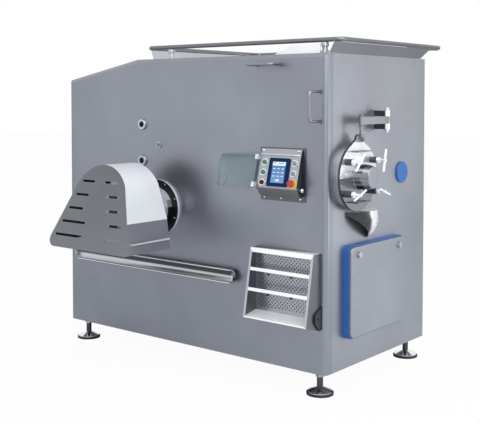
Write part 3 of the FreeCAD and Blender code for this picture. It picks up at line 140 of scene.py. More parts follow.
def relief(tree, height, depth, strength):
    """Fine bumps, with their depth in metres."""
    bump = tree.nodes.new("ShaderNodeBump")
    feed(tree, bump, {"Height": height, "Distance": depth, "Strength": strength})
    return bump.outputs["Normal"]


def beyond(tree, direction, distance, soft):
    """Share from 0 to 1 past a plane across a direction, in the piece's own coordinates."""
    own = tree.nodes.new("ShaderNodeTexCoord")
    along = tree.nodes.new("ShaderNodeVectorMath")
    along.operation = "DOT_PRODUCT"
    feed(tree, along, {0: own.outputs["Object"], 1: direction})
    return ranged(tree, along.outputs["Value"], 0, 1, distance - soft, distance + soft)


def shaded(colour, factor):
    """A colour made darker or lighter, up to white."""
    return tuple(min(1.0, c * factor) for c in colour)


def clouded(tree, pattern, tone, least, most):
    """A tone that a pattern makes darker and lighter."""
    return blended(tree, ranged(tree, pattern, 0, 1), shaded(tone, least), shaded(tone, most))


# Kinds of finish
def steel(name, tone, rough, metal=1.0, grain=LEVEL, depth=0.00006):
    """Stainless steel with faint clouding and a fine grain along one direction."""
    made, tree, shader = new_material(name)
    cloud = noise_pattern(tree, EVEN, 2.2, 3)
    brush = noise_pattern(tree, grain, 24, 3)
    streak = clouded(tree, brush, (1.0, 1.0, 1.0), 0.96, 1.0)
    feed(tree, shader, {
        "Base Color": blended(tree, 1.0, clouded(tree, cloud, tone, 0.93, 1.07), streak,
                              "MULTIPLY"),
        "Roughness": ranged(tree, brush, rough * 0.93, rough * 1.07),
        "Metallic": metal,
        "Normal": relief(tree, brush, depth, 0.2),
    })
    return made


def smooth_steel(name, tone, rough, metal=1.0):
    """Stainless steel with no grain to see."""
    return steel(name, tone, rough, metal, EVEN, 0.00001)


def moulded(name, tone, rough, coat=0.0, gloss=0.5):
    """Moulded plastic, rubber or paint with a fine speckle."""
    made, tree, shader = new_material(name)
    speckle = noise_pattern(tree, EVEN, 120, 4)
    feed(tree, shader, {
        "Base Color": clouded(tree, speckle, tone, 0.9, 1.1),
        "Roughness": ranged(tree, speckle, rough * 0.85, rough * 1.15),
        "Coat Weight": coat,
        "Specular IOR Level": gloss,
        "Normal": relief(tree, speckle, 0.0002, 0.15),
    })
    return made


def clear_sheet(name, tone):
    """Smoked clear sheet with faint scuffs."""
    made, tree, shader = new_material(name)
    scuff = noise_pattern(tree, EVEN, 40, 5)
    feed(tree, shader, {
        "Base Color": clouded(tree, scuff, tone, 1.0, 1.06),
        "Roughness": ranged(tree, scuff, 0.10, 0.25),
        "Transmission Weight": 0.72,
        "IOR": 1.2,
    })
    return made


def painted_shade_sheet(name, dark, light, direction, through, soft):
    """Bright sheet with a dark part of painted shade that fades in past a plane through a point.
    """
    made, tree, shader = new_material(name)
    cloud = noise_pattern(tree, EVEN, 30, 3)
    distance = Vector(direction).dot(at(*through))
    feed(tree, shader, {
        "Base Color": blended(tree, beyond(tree, direction, distance, soft), dark, light),
        "Roughness": ranged(tree, cloud, 0.24, 0.36),
        "Metallic": 0.6,
    })
    return made


def lit_display(name, low_tone, high_tone, foot, top):
    """Display film that glows a little and changes its tone from one height to another."""
    made, tree, shader = new_material(name)
    low, high = at(0, 0, foot).z, at(0, 0, top).z
    rise = beyond(tree, UP, (low + high) / 2, (high - low) / 2)
    colour = blended(tree, rise, low_tone, high_tone)
    feed(tree, shader, {
        "Base Color": colour,
        "Emission Color": colour,
        "Emission Strength": 0.1,
        "Roughness": 0.35,
        "Specular IOR Level": 0.15,
    })
    return made


def mix_finishes():
    """All finishes by name; the slots of the record are among them. Several are lighter and
    darker copies of one steel, used as painted light and shade.
    """
    return {
        # The side sheet is a lighter copy of the front sheet's steel: painted light on the right,
        # rear and left panels and the service door
        "cabinet_steel": steel("front_sheet", (0.285, 0.30, 0.345), 0.40, depth=0.0002),
        "side_sheet": steel("side_sheet", (0.335, 0.35, 0.385), 0.40, 0.9, depth=0.0002),
        # Bright steel, which on the rail's upward-facing lower half is painted light
        "bright_steel": smooth_steel("bright_satin_and_painted_light", (0.52, 0.54, 0.57), 0.30, 0.9),
        # Near-white steel for the vent bars, clamp screws and hood rod, and painted light and
        # highlights on the console roof, the collar's front wall, the barrel's top and flange edge
        # and the rail's lip
        "white_steel": smooth_steel("white_satin_and_painted_light", (0.90, 0.91, 0.93), 0.3, 0.5),
        # Near-white steel as painted light on the vent's upward-facing sill
        "sill_steel": smooth_steel("sill_painted_light", (0.95, 0.96, 0.97), 0.35, 0.15),
        # Polished steel for the round cover's bosses and fins, and as painted reflection a darker
        # tone on the button rings of the front sheet
        "mirror_steel": smooth_steel("mirror_polish_and_painted_reflection", (0.44, 0.455, 0.48), 0.12),
        # Bright steel as painted light on the round cover's disc above its nose and on the
        # barrel's shoulders
        "disc_steel": smooth_steel("disc_painted_light", (0.86, 0.87, 0.90), 0.24, 0.8),
        "nose_steel": steel("turned_satin", (0.26, 0.27, 0.29), 0.22, 1.0, RINGS, 0.00002),
        "grey_steel": smooth_steel("grey_satin", (0.20, 0.21, 0.23), 0.32),
        # Dark steel for the davit lugs and foot stems, and painted shade on the round cover's
        # edge, the barrel's flanks and the rail's upper half
        "dark_steel": steel("dark_steel_and_painted_shade", (0.085, 0.09, 0.10), 0.35),
        "chrome": smooth_steel("chrome", (0.80, 0.81, 0.83), 0.08),
        "foot_steel": smooth_steel("foot_polish", (0.42, 0.43, 0.45), 0.14),
        "arm_steel": steel("arm_satin", (0.28, 0.29, 0.31), 0.3, 1.0, FINE_LEVEL),
        "rail_steel": smooth_steel("rail_satin", (0.50, 0.51, 0.54), 0.3, 0.8),
        # The hood is one steel: its bright sides and top are painted light, its darker front plate
        # and skirt painted shade
        "hood_steel": steel("hood_painted_light", (0.90, 0.92, 0.95), 0.34, 0.35, FINE_LEVEL),
        "plate_steel": steel("hood_plate_painted_shade", (0.165, 0.175, 0.19), 0.36, 1.0, UPRIGHT),
        "skirt_steel": steel("hood_skirt_painted_shade", (0.31, 0.32, 0.345), 0.34, 0.8, FINE_LEVEL),
        # Near-black steel as painted shade inside the hood, on the hood hinge and on the drum
        # within the hood, and as a painted dark reflection on the barrel's flange face
        "inside_steel": steel("hood_inside_painted_shade", (0.03, 0.032, 0.035), 0.5),
        # Darker steel as painted shade on the vent's side walls and recess
        "side_wall_steel": steel("side_wall", (0.15, 0.16, 0.175), 0.34, 0.9),
        "lug_steel": steel("lug_satin", (0.05, 0.053, 0.06), 0.3, 0.9),
        # Darker copies of the console steel as painted shade on its right cheek and underside
        "cheek_steel": steel("console_cheek", (0.085, 0.09, 0.10), 0.3, 0.9),
        "under_steel": steel("console_underside", (0.17, 0.175, 0.185), 0.28, 0.95),
        # Darker steel as painted shade on the hopper collar's right wall
        "collar_steel": steel("collar_painted_shade", (0.26, 0.27, 0.29), 0.32, 0.9),
        "end_steel": steel("nose_end", (0.27, 0.29, 0.33), 0.38, 1.0, EVEN),
        "panel_steel": steel("console_satin", (0.42, 0.44, 0.48), 0.30, 0.85, FINE_LEVEL, 0.00002),
        "backing_steel": steel("backing_sheet", (0.13, 0.137, 0.15), 0.36),
        "polished": smooth_steel("polished_ring", (0.86, 0.87, 0.89), 0.12, 0.9),
        "drive_paint": moulded("drive_paint", (0.11, 0.13, 0.15), 0.42),
        "black_rubber": moulded("black_rubber", (0.016, 0.016, 0.017), 0.6),
        "blue_silicone": moulded("blue_silicone", (0.018, 0.12, 0.40), 0.42),
        "seal_white": moulded("pale_seal", (0.64, 0.64, 0.62), 0.5),
        "blue_cap": moulded("blue_cap", (0.001, 0.014, 0.065), 0.4, 0.0, 0.05),
        "green_cap": moulded("green_cap", (0.012, 0.20, 0.07), 0.25, 0.3),
        "red_cap": moulded("red_cap", (0.48, 0.02, 0.018), 0.25, 0.3),
        "deep_red_cap": moulded("deep_red_cap", (0.10, 0.008, 0.008), 0.35, 0.0, 0.2),
        "clear_cap": moulded("clear_cap", (0.24, 0.28, 0.28), 0.25, 0.2),
        "yellow_plastic": moulded("yellow_plastic", (0.80, 0.62, 0.03), 0.35),
        "bezel_blue": moulded("bezel_film", (0.006, 0.026, 0.085), 0.5, 0.0, 0.05),
        "black_plastic": moulded("black_moulding", (0.022, 0.022, 0.024), 0.48),
        "clear_shield": clear_sheet("smoked_shield", (0.50, 0.60, 0.63)),
        "shield_rim": moulded("shield_rim", (0.62, 0.70, 0.73), 0.2, 0.4),
        # The side scoop is one bright steel sheet; its dark part is painted shade
        "scoop_steel": painted_shade_sheet("scoop_sheet", (0.05, 0.052, 0.056), (0.90, 0.91, 0.93),
                                (0, 1, 0.35), (0, 318, 905), 0.012),
        "screen": lit_display("display_field", (0.17, 0.33, 0.56), (0.075, 0.19, 0.45),
                              1115, 1215),
        "display_band": lit_display("display_band", (0.70, 0.80, 0.92), (0.80, 0.87, 0.95),
                                    1200, 1225),
        "display_mark": lit_display("display_mark", (0.62, 0.74, 0.90), (0.72, 0.82, 0.93),
                                    1110, 1225),
        "display_red": lit_display("display_red", (0.75, 0.10, 0.14), (0.80, 0.14, 0.16),
                                   1200, 1225),
    }


def put_on(piece, material):
    """Makes a material the piece's only one."""
    piece.data.materials.clear()
    piece.data.materials.append(material)


def finish_nodes():
    """Gives each solid of the frame the finish of the real piece, except that the right, rear and
    left panels and the service door get a lighter copy of the sheet steel as painted light, and
    the hood hinge and the side scoop get painted shade.
    """
    chosen = {
        "right_panel": "side_sheet", "rear_panel": "side_sheet", "left_panel": "side_sheet",
        "service_door": "side_sheet", "hood_hinge": "inside_steel", "side_scoop": "scoop_steel",
        "panel_plate": "backing_steel", "hopper_rim": "grey_steel", "grab_handles": "arm_steel",
        "davit_arm": "arm_steel", "stop_button": "deep_red_cap",
        "clamp_screw_upper_front": "white_steel", "clamp_screw_upper_rear": "white_steel",
        "clamp_screw_lower_front": "white_steel", "clamp_screw_lower_rear": "white_steel",
    }
    for name, slot in slots.items():
        put_on(nodes[name], finishes[chosen.get(name, slot)])


# Modelling by hand
def deselect():
    if bpy.context.object and bpy.context.object.mode != "OBJECT":
        bpy.ops.object.mode_set(mode="OBJECT")
    bpy.ops.object.select_all(action="DESELECT")


def hold(piece):
    """Selects one piece alone."""
    deselect()
    piece.select_set(True)
    bpy.context.view_layer.objects.active = piece


def pick(piece, kind, wanted):
    """Goes into edit mode with only what fits a test selected: faces by their middle and normal,
    edges by their two ends, or vertices by their place."""
    bpy.ops.object.mode_set(mode="EDIT")
    bpy.ops.mesh.select_mode(type=kind)
    bpy.ops.mesh.select_all(action="DESELECT")
    bpy.ops.object.mode_set(mode="OBJECT")
    mesh = piece.data
    if kind == "FACE":
        for face in mesh.polygons:
            face.select = wanted(face.center, face.normal)
    elif kind == "EDGE":
        for edge in mesh.edges:
            edge.select = wanted(*(mesh.vertices[end].co for end in edge.vertices))
    else:
        for vertex in mesh.vertices:
            vertex.select = wanted(vertex.co)
    bpy.ops.object.mode_set(mode="EDIT")


def on_top(middle, normal):
    return normal.z > 0.9


def extrude(shift):
    """Extrudes what is selected by a shift in metres."""
    bpy.ops.mesh.extrude_region_move(TRANSFORM_OT_translate={"value": shift})


def soften(piece, width):
    """Rounds the sharp edges with an applied bevel."""
    bevel = piece.modifiers.new("edge", "BEVEL")
    bevel.width = width
    bevel.segments = 2
    bevel.limit_method = "ANGLE"
    bevel.angle_limit = math.radians(40)
    bpy.ops.object.modifier_apply(modifier="edge")


def turned(name, outline, sides=24):
    """Turned part that stands on the origin along Z, from (radius, height) steps in millimetres.
    The first two steps are the foot and the top of a plain cylinder."""
    deselect()
    now = outline[1]
    height = now[1] / 1000
    bpy.ops.mesh.primitive_cylinder_add(vertices=sides, radius=now[0] / 1000, depth=height,
                                        location=(0, 0, height / 2))
    piece = bpy.context.object
    piece.name = name
    bpy.ops.object.transform_apply(location=True, rotation=False, scale=False)
    pick(piece, "FACE", on_top)
    for step in outline[2:]:
        extrude((0, 0, (step[1] - now[1]) / 1000))
        scale = step[0] / now[0]
        bpy.ops.transform.resize(value=(scale, scale, 1), center_override=(0, 0, step[1] / 1000))
        now = step
    bpy.ops.object.mode_set(mode="OBJECT")
    return piece


def slab(name, size, rounding, edge=0.6):
    """Rounded block in millimetres that stands on the origin; its upright corners are rounded."""
    deselect()
    half_height = size[2] / 2000
    bpy.ops.mesh.primitive_cube_add(size=1, location=(0, 0, half_height))
    piece = bpy.context.object
    piece.name = name
    piece.scale = Vector(size) / 1000
    bpy.ops.object.transform_apply(location=True, rotation=False, scale=True)
    pick(piece, "EDGE", lambda a, b: abs(a.z - b.z) > half_height)
    bpy.ops.mesh.bevel(offset=rounding / 1000, segments=4, affect="EDGES")
    bpy.ops.object.mode_set(mode="OBJECT")
    if edge:
        soften(piece, edge / 1000)
    return piece


def settle(piece, where, turn):
    """Moves and turns a piece, and keeps that in its mesh."""
    hold(piece)
    piece.matrix_world = Matrix.Translation(where) @ turn.to_4x4()
    bpy.ops.object.transform_apply(location=True, rotation=True, scale=True)


def place(piece, where, facing=UP, turn=0.0):
    """Stands a piece at a place, with its Z along a direction and a turn about it in degrees."""
    swing = Vector(UP).rotation_difference(Vector(facing)).to_matrix()
    settle(piece, where, swing @ Matrix.Rotation(math.radians(turn), 3, "Z"))


def duplicate(piece, name):
    """Copies a piece with a mesh of its own."""
    made = piece.copy()
    made.data = piece.data.copy()
    made.name = name
    bpy.context.scene.collection.objects.link(made)
    return made


def fit(piece, body, finish):
    """Shades a finished piece, gives it its finish and lets it ride on its body."""
    hold(piece)
    bpy.ops.object.shade_smooth_by_angle(angle=math.radians(35))
    put_on(piece, finishes[finish])
    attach(piece, body)


def set_row(pattern, name, spots, body, finish, facing=UP):
    """Copies one modelled piece to each spot, then takes the pattern away."""
    for number, spot in enumerate(spots, 1):
        copy = duplicate(pattern, f"{name}_{number}")
        place(copy, at(*spot), facing)
        fit(copy, body, finish)
    bpy.data.objects.remove(pattern)


# Solids whose faces differ in finish, and in lighter and darker tones of one steel that are
# painted light and shade
def dress(name, rules):
    """Copies a solid of the frame and gives its faces different finishes, many of them painted
    light
    and shade: the first rule whose test fits a face's middle, in millimetres from the corner, and
    its normal."""
    piece = duplicate(nodes[name], name + "_dressed")
    piece.parent = None
    piece.matrix_world = Matrix.Identity(4)
    hold(piece)
    bpy.ops.object.mode_set(mode="EDIT")
    bpy.ops.mesh.select_all(action="SELECT")
    bpy.ops.mesh.remove_doubles(threshold=0.00001)
    bpy.ops.object.mode_set(mode="OBJECT")
    if piece.data.has_custom_normals:
        bpy.ops.mesh.customdata_custom_splitnormals_clear()
    piece.data.materials.clear()
    for finish, _ in rules:
        piece.data.materials.append(finishes[finish])
    for face in piece.data.polygons:
        middle = (face.center - corner) * 1000
        face.material_index = next(number for number, (_, fits) in enumerate(rules)
                                   if fits(middle, face.normal))
    bpy.ops.object.shade_smooth_by_angle(angle=math.radians(28))
    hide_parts(name)
    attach(piece, riders[name])


def always(middle, normal):
    return True


def dress_hood():
    """Front plate darkened as painted shade, folded sides and top painted light, a skirt darkened
    as painted shade with a bright rod, and an inside painted near-black as shade.
    """
    lean = math.radians(15)
    out = Vector((0, -math.cos(lean), math.sin(lean)))
    core = Vector((-1187, -375, 950))
    skirt_top = 885
    rod_foot, rod_top, rod_end = 765, 787, -912

    def hem_rod(middle, normal):
        return rod_foot < middle.z < rod_top and middle.x > rod_end

    def inside(middle, normal):
        if abs(normal.dot(out)) > 0.9:
            return normal.dot(out) < 0
        return (middle - core).dot(normal) < 0 or abs(normal.y) > 0.99

    def front_plate(middle, normal):
        return normal.dot(out) > 0.9

    def skirt(middle, normal):
        return middle.z < skirt_top and normal.x > 0.8

    dress("guard_hood", [("white_steel", hem_rod), ("inside_steel", inside),
                         ("plate_steel", front_plate), ("skirt_steel", skirt),
                         ("hood_steel", always)])


def dress_vent():
    """Bright bars, a sill painted light, satin lips at the two sides, side walls and recess
    darkened as painted shade, and a dark lug.
    """
    lug_start, back, recess_top, sill_top = -33.9, -25, 700, 520
    left_lip, right_lip = -348, -60

    def lug(middle, normal):
        return middle.x > lug_start

    def side_wall(middle, normal):
        return abs(normal.x) > 0.7

    def sill(middle, normal):
        return normal.z > 0.2 and middle.z < sill_top

    def recess(middle, normal):
        return middle.y > back or (normal.z < -0.7 and middle.z > recess_top)

    def lip(middle, normal):
        return normal.y < -0.7 and (middle.x < left_lip or middle.x > right_lip)

    dress("vent_frame", [("lug_steel", lug), ("side_wall_steel", side_wall),
                         ("sill_steel", sill), ("side_wall_steel", recess),
                         ("panel_steel", lip), ("white_steel", always)])


def dress_console():
    """Roof painted light, satin face, and an underside and right cheek darkened as painted shade.
    """
    cheek_start, underside_top, roof_foot = -160, 1110, 1250

    def cheek(middle, normal):
        return normal.x > 0.6 and middle.x > cheek_start

    def underside(middle, normal):
        return normal.z < -0.2 and middle.z < underside_top

    def roof(middle, normal):
        return normal.z > 0.6 and middle.z > roof_foot

    dress("panel_box", [("cheek_steel", cheek), ("under_steel", underside),
                        ("white_steel", roof), ("panel_steel", always)])


def dress_round_cover():
    """Disc painted light above its nose, an edge darkened as painted shade, a turned nose with a
    matt end, and mirror-polished bosses and fins."""
    nose_y, nose_z, nose_radius = 226, 1146, 75
    nose_root, disc_front, nose_front = 53, 60, 143

    def nose_end(middle, normal):
        return middle.x > nose_front and normal.x > 0.9

    def nose(middle, normal):
        off_axis = math.hypot(middle.y - nose_y, middle.z - nose_z)
        return off_axis < nose_radius and middle.x > nose_root and abs(normal.x) < 0.8

    def disc(middle, normal):
        return normal.x > 0.95 and middle.z > nose_z and middle.x < disc_front

    def edge(middle, normal):
        return abs(normal.x) < 0.3

    dress("side_cover", [("end_steel", nose_end), ("nose_steel", nose), ("disc_steel", disc),
                         ("dark_steel", edge), ("mirror_steel", always)])


def dress_davit():
    """Bright pin ends on dark lugs, over a pad that matches the side sheet."""
    pin_start, pad_front = 62, 10.5

    def pin_end(middle, normal):
        return middle.x > pin_start

    def pad(middle, normal):
        return middle.x < pad_front

    dress("davit_bracket", [("polished", pin_end), ("side_sheet", pad), ("dark_steel", always)])


def dress_shield():
    """Clear sheet with a pale lower wall."""
    wall_height = 4
    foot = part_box("clear_cover")[0].z * 1000

    def lower_wall(middle, normal):
        return middle.z < foot + wall_height and abs(normal.y) < 0.7

    dress("clear_cover", [("shield_rim", lower_wall), ("clear_shield", always)])


def dress_collar():
    """Front wall painted light, right wall darkened as painted shade."""
    right_wall_start = -200

    def front_wall(middle, normal):
        return normal.y < -0.3

    def right_wall(middle, normal):
        return normal.x > 0.4 and middle.x > right_wall_start

    dress("hopper_collar", [("white_steel", front_wall), ("collar_steel", right_wall),
                            ("bright_steel", always)])


def dress_ring_nut():
    """Polished drum whose part inside the hood is painted near-black as shade."""
    hood_mouth = -199

    def within_hood(middle, normal):
        return middle.y < hood_mouth

    dress("ring_nut", [("inside_steel", within_hood), ("chrome", always)])


def dress_barrel():
    """Barrel end with a painted highlight on its top and shoulders, flanks darkened as painted
    shade, and a flange face painted near-black as a dark reflection, with a painted highlight on
    its edge.
    """
    flange_back, edge_back = -30, -15

    def flange_face(middle, normal):
        return normal.y < -0.7 and middle.y > flange_back

    def flange_edge(middle, normal):
        return edge_back < middle.y < 0

    def crown(middle, normal):
        return normal.z > 0.45

    def shoulder(middle, normal):
        return normal.z > 0.1

    dress("grinding_barrel", [("inside_steel", flange_face), ("white_steel", flange_edge),
                              ("white_steel", crown), ("disc_steel", shoulder),
                              ("dark_steel", always)])


def dress_button_rings():
    """Rings on the front sheet in a darker polished steel as painted reflection, and bright ones
    on the console.
    """
    console_side = -900

    def on_sheet(middle, normal):
        return middle.x < console_side

    dress("button_rings", [("mirror_steel", on_sheet), ("polished", always)])


def dress_rail():
    """Hollow rail with painted shade on its downward-facing upper half, painted light on its
    upward-facing lower half, and a painted highlight on its lip.
    """
    lip_back = -38

    def upper_half(middle, normal):
        return -0.95 < normal.z < -0.03

    def lip(middle, normal):
        return normal.y < -0.9 and middle.y < lip_back

    def lower_half(middle, normal):
        return 0.03 < normal.z < 0.93

    dress("front_rail", [("dark_steel", upper_half), ("white_steel", lip),
                         ("bright_steel", lower_half), ("rail_steel", always)])


def dress_feet():
    """Dark stems over polished cones."""
    cone_top = 40

    def stem(middle, normal):
        return abs(normal.z) < 0.1 and middle.z > cone_top

    dress("levelling_feet", [("dark_steel", stem), ("chrome", always)])


# Ventilation box
def make_perforated_grid():
    """Sheet with round holes in a diamond pattern behind the bars."""
    pitch = 0.0115          # from one row or column to the next
    margin = 0.012          # plain edge without holes
    hole_cut = 0.0068       # from a hole's middle to its corners, along the rows and columns
    hole_reach = 0.0062     # a face whose middle is nearer than this to a hole's middle goes
    low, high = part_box("perforated_sheet")
    width, height = high.x - low.x, high.z - low.z
    columns, rows = (int((length - 2 * margin) / pitch) for length in (width, height))
    half_x, half_y = columns * pitch / 2, rows * pitch / 2
    deselect()
    bpy.ops.mesh.primitive_grid_add(x_subdivisions=columns, y_subdivisions=rows, size=1)
    grid = bpy.context.object
    grid.name = "perforated_grid"
    grid.scale = (columns * pitch, rows * pitch, 1)
    bpy.ops.object.transform_apply(location=False, rotation=False, scale=True)

    def nearest_crossing(spot):
        """Column and row of the nearest crossing, and the distance to it."""
        across, up = spot.x + half_x, spot.y + half_y
        column, row = round(across / pitch), round(up / pitch)
        return column, row, math.hypot(across - column * pitch, up - row * pitch)

    def near_hole(spot):
        column, row, _ = nearest_crossing(spot)
        return 0 < column < columns and 0 < row < rows and (column + row) % 2 == 0

    def in_hole(spot, normal):
        return near_hole(spot) and nearest_crossing(spot)[2] < hole_reach

    pick(grid, "VERT", near_hole)
    bpy.ops.mesh.bevel(offset=hole_cut, segments=2, affect="VERTICES")
    pick(grid, "FACE", in_hole)
    bpy.ops.mesh.delete(type="FACE")
    for axis, reach, full in ((0, half_x, width / 2), (1, half_y, height / 2)):
        for side in (-1, 1):
            pick(grid, "EDGE", lambda *ends: all(abs(end[axis] - side * reach) < 0.00001
                                                 for end in ends))
            shift = [0, 0, 0]
            shift[axis] = side * (full - reach)
            extrude(shift)
    bpy.ops.object.mode_set(mode="OBJECT")
    wall = grid.modifiers.new("sheet", "SOLIDIFY")
    wall.thickness = high.y - low.y
    wall.offset = 0
    bpy.ops.object.modifier_apply(modifier="sheet")
    place(grid, (low + high) / 2, FRONT, 180)
    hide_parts("perforated_sheet")
    fit(grid, "cabinet", "panel_steel")


def make_bar_clips():
    """Dark spring clips under the two cross bars."""
    clip = slab("clip_pattern", (17, 9, 7), 3)
    pick(clip, "FACE", on_top)
    bpy.ops.mesh.inset(thickness=0.0015)
    extrude((0, 0, -0.002))
    bpy.ops.object.mode_set(mode="OBJECT")
    spots = [(-305, -86, 632), (-155, -86, 632), (-291, -105, 530), (-142, -105, 530)]
    set_row(clip, "bar_clip", spots, "cabinet", "black_plastic", FRONT)


# Console. Its face leans back by 40 mm over its height of 158 mm
console_lean = math.atan2(40, 158)
console_up = Vector((0, math.sin(console_lean), math.cos(console_lean)))
console_out = Vector((0, -math.cos(console_lean), math.sin(console_lean)))
ROOF_SLANT = (0, -0.75, 0.66)


def place_on_console(piece, x, along, out):
    """Stands a piece on the leaning face: x, then how far up from its middle and off it."""
    spot = at(x, -42, 1179) + (console_up * along + console_out * out) / 1000
    settle(piece, spot, Matrix((RIGHT, console_up, console_out)).transposed())


def make_display():
    """Generic screen content: a pale band with two lines, rows of plain tiles and a key."""
    screen_x, screen_along = -270, -11
    glass = 5.5
    film = 0.35
    plates = [("display_band", 84, 20, 0, 45, "display_band"),
              ("display_line_red", 20, 4, -28, 49, "display_red"),
              ("display_line_grey", 34, 3, 14, 47, "screen")]
    tiles = [(x, along) for along in (19, -1, -21) for x in (-27, 0, 27)]
    for number, (x, along) in enumerate(tiles, 1):
        plates.append((f"display_tile_{number}", 15, 5, x, along, "display_mark"))
    plates.append(("display_key", 24, 10, 0, -43, "display_band"))
    for name, width, height, x, along, finish in plates:
        plate = slab(name, (width, height, film), 1.5, 0)
        lift = glass + (film if "line" in name else 0.02)
        place_on_console(plate, screen_x + x, screen_along + along, lift)
        fit(plate, "cabinet", finish)


def make_console_fasteners():
    """Dome screws below the console, bosses and a lip on its roof, and the latch knob at its
    right."""
    screw = turned("screw_pattern", [(7, 0), (7, 3), (6.2, 6), (4, 8.5), (1.2, 9.4)], 20)
    spots = [(-391, -4, 1031), (-279, -4, 1031), (-157, -4, 1031)]
    set_row(screw, "console_screw", spots, "cabinet", "chrome", FRONT)
    boss = turned("boss_pattern", [(6, 0), (6, 9), (4.6, 10.5), (4.6, 8), (1, 8)], 20)
    spots = [(-391, -11, 1277), (-160, -11, 1277)]
    set_row(boss, "console_boss", spots, "cabinet", "chrome", ROOF_SLANT)
    knob = turned("latch_knob", [(7, 0), (7, 6), (11, 7.5), (11.8, 11), (11, 15), (8, 18),
                                 (3, 19.5)])
    place(knob, at(-143, -27, 1079), RIGHT)
    fit(knob, "cabinet", "chrome")
    lip = slab("console_lip", (259, 7, 3), 1.2, 0.8)
    place(lip, at(-274.5, -23.5, 1259.5), ROOF_SLANT)
    fit(lip, "cabinet", "polished")


def make_key_lights():
    """Small domed lenses on the keys."""
    key_front = 10.05
    keys = [("start_button", -369, 40.5, "green_cap", "green_cap"),
            ("run_button", -369, -14, "green_cap", "green_cap"),
            ("stop_button", -369, -68.5, "deep_red_cap", "red_cap"),
            ("forward_button", -174, 40.5, "clear_cap", "clear_cap"),
            ("reverse_button", -174, -14, "clear_cap", "clear_cap")]
    for body, x, along, finish, slot in keys:
        lens = turned(body + "_lens", [(9.5, 0), (9.5, 0.6), (8, 1.6), (5, 2.3), (1.5, 2.6)], 20)
        place_on_console(lens, x, along, key_front)
        fit(lens, body, finish)


def make_shield_details():
    """Bright lower rim of the open shield, and the two hinge leaves that stay on the console."""
    low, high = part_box("clear_cover")
    rim = slab("shield_rim", ((high.x - low.x) * 1000 - 40, 5, 7), 1.4, 0.8)
    place(rim, Vector(((low.x + high.x) / 2 - 0.012, high.y - 0.020, low.z - 0.0006)))
    fit(rim, "clear_cover", "shield_rim")
    for number, along in enumerate((66, -85), 1):
        leaf = slab(f"hinge_leaf_{number}", (15, 26, 3), 2, 0.8)
        place_on_console(leaf, -420, along, 16.1)
        fit(leaf, "cabinet", "polished")


# Feet
def make_foot_nuts():
    """Lock nuts with washers on the four levelling feet."""
    nut = turned("nut_pattern", [(22, 0), (22, 1.5), (21, 2), (21, 10), (19.5, 12), (17, 12)], 6)
    spots = [(x, y, 93) for x in (-86, -1904) for y in (76, 991)]
    set_row(nut, "foot_nut", spots, "cabinet", "foot_steel")


def make_pieces():
    """Dresses the solids, then adds the small pieces."""
    for work in (dress_hood, dress_vent, dress_console, dress_round_cover, dress_davit,
                 dress_shield, dress_collar, dress_ring_nut, dress_barrel, dress_button_rings,
                 dress_rail, dress_feet, make_perforated_grid, make_bar_clips, make_display,
                 make_console_fasteners, make_key_lights, make_shield_details, make_foot_nuts):
        work()


# Studio
def reckoned(tree, operation, first, second):
    """One operation on two values, each a number or a socket."""
    node = tree.nodes.new("ShaderNodeMath")
    node.operation = operation
    feed(tree, node, {0: first, 1: second})
    return node.outputs[0]


def join(tree, share, first, second, output):
    """Mixes two shaders into an output."""
    mix = tree.nodes.new("ShaderNodeMixShader")
    feed(tree, mix, {"Fac": share, 1: first, 2: second})
    feed(tree, tree.nodes[output], {"Surface": mix.outputs["Shader"]})


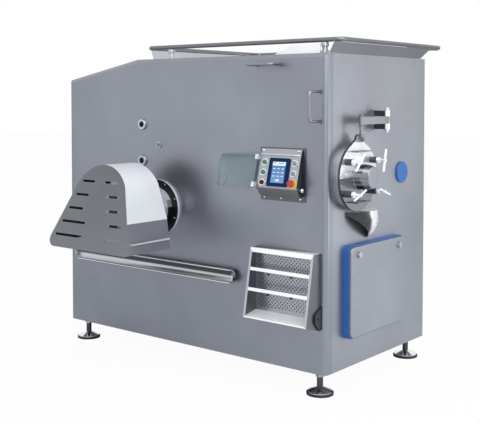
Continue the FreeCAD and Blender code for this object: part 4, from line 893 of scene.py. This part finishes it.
def lay_floor():
    """Pale matt floor, nearly white to the camera, which still shows the shadow."""
    camera_share = 0.96
    deselect()
    bpy.ops.mesh.primitive_grid_add(x_subdivisions=4, y_subdivisions=4, size=60,
                                    location=(0, 0, -0.0005))
    floor = bpy.context.object
    floor.name = "studio_floor"
    made, tree, shader = new_material("pale_floor")
    paint = ranged(tree, noise_pattern(tree, EVEN, 3, 2), 0, 1)
    feed(tree, shader, {
        "Base Color": blended(tree, paint, (0.86, 0.86, 0.86), (0.88, 0.88, 0.88)),
        "Roughness": 0.9,
    })
    glow = tree.nodes.new("ShaderNodeEmission")
    rays = tree.nodes.new("ShaderNodeLightPath")
    share = reckoned(tree, "MULTIPLY", rays.outputs["Is Camera Ray"], camera_share)
    join(tree, share, shader.outputs["BSDF"], glow.outputs["Emission"], "Material Output")
    put_on(floor, made)


def light_world():
    """Grey room light, and white where the camera, glass or metal sees the world itself."""
    world = bpy.data.worlds.new("studio")
    bpy.context.scene.world = world
    world.use_nodes = True
    tree = world.node_tree
    room = tree.nodes["Background"]
    feed(tree, room, {"Color": (0.80, 0.82, 0.86, 1), "Strength": 0.75})
    white = tree.nodes.new("ShaderNodeBackground")
    feed(tree, white, {"Color": (1, 1, 1, 1), "Strength": 1.0})
    rays = tree.nodes.new("ShaderNodeLightPath")
    seen = rays.outputs["Is Camera Ray"]
    for kind in ("Is Transmission Ray", "Is Glossy Ray"):
        seen = reckoned(tree, "MAXIMUM", seen, rays.outputs[kind])
    join(tree, seen, room.outputs["Background"], white.outputs["Background"], "World Output")


def soft_lamp(name, spot, target, size, power):
    """Rectangular lamp that faces a target, with its sides in metres and its power in watts."""
    data = bpy.data.lights.new(name, "AREA")
    data.shape = "RECTANGLE"
    data.size, data.size_y = size
    data.energy = power
    lamp = bpy.data.objects.new(name, data)
    bpy.context.scene.collection.objects.link(lamp)
    lamp.location = spot
    lamp.rotation_euler = (Vector(target) - Vector(spot)).to_track_quat("-Z", "Y").to_euler()


def light_studio():
    bpy.context.scene.view_settings.view_transform = "Standard"
    light_world()
    soft_lamp("overhead_softbox", (1.2, -1.8, 4.6), (0, 0, 1), (3.5, 3.5), 60)
    soft_lamp("rear_right_softbox", (3.6, 1.9, 0.9), (0.9, 0.3, 1.0), (1.6, 1.4), 18)
    soft_lamp("right_softbox", (4.2, -0.6, 3.8), (0, -0.5, 1.0), (3.6, 3.6), 75)
    soft_lamp("left_softbox", (-2.4, -3.8, 1.1), (-0.3, -0.3, 1.0), (3.0, 1.8), 7)
    soft_lamp("edge_softbox", (4.3, -3.9, 2.5), (0.9, -0.3, 1.2), (0.3, 2.6), 30)


place_camera()
finishes = mix_finishes()
finish_nodes()
make_pieces()
lay_floor()
light_studio()
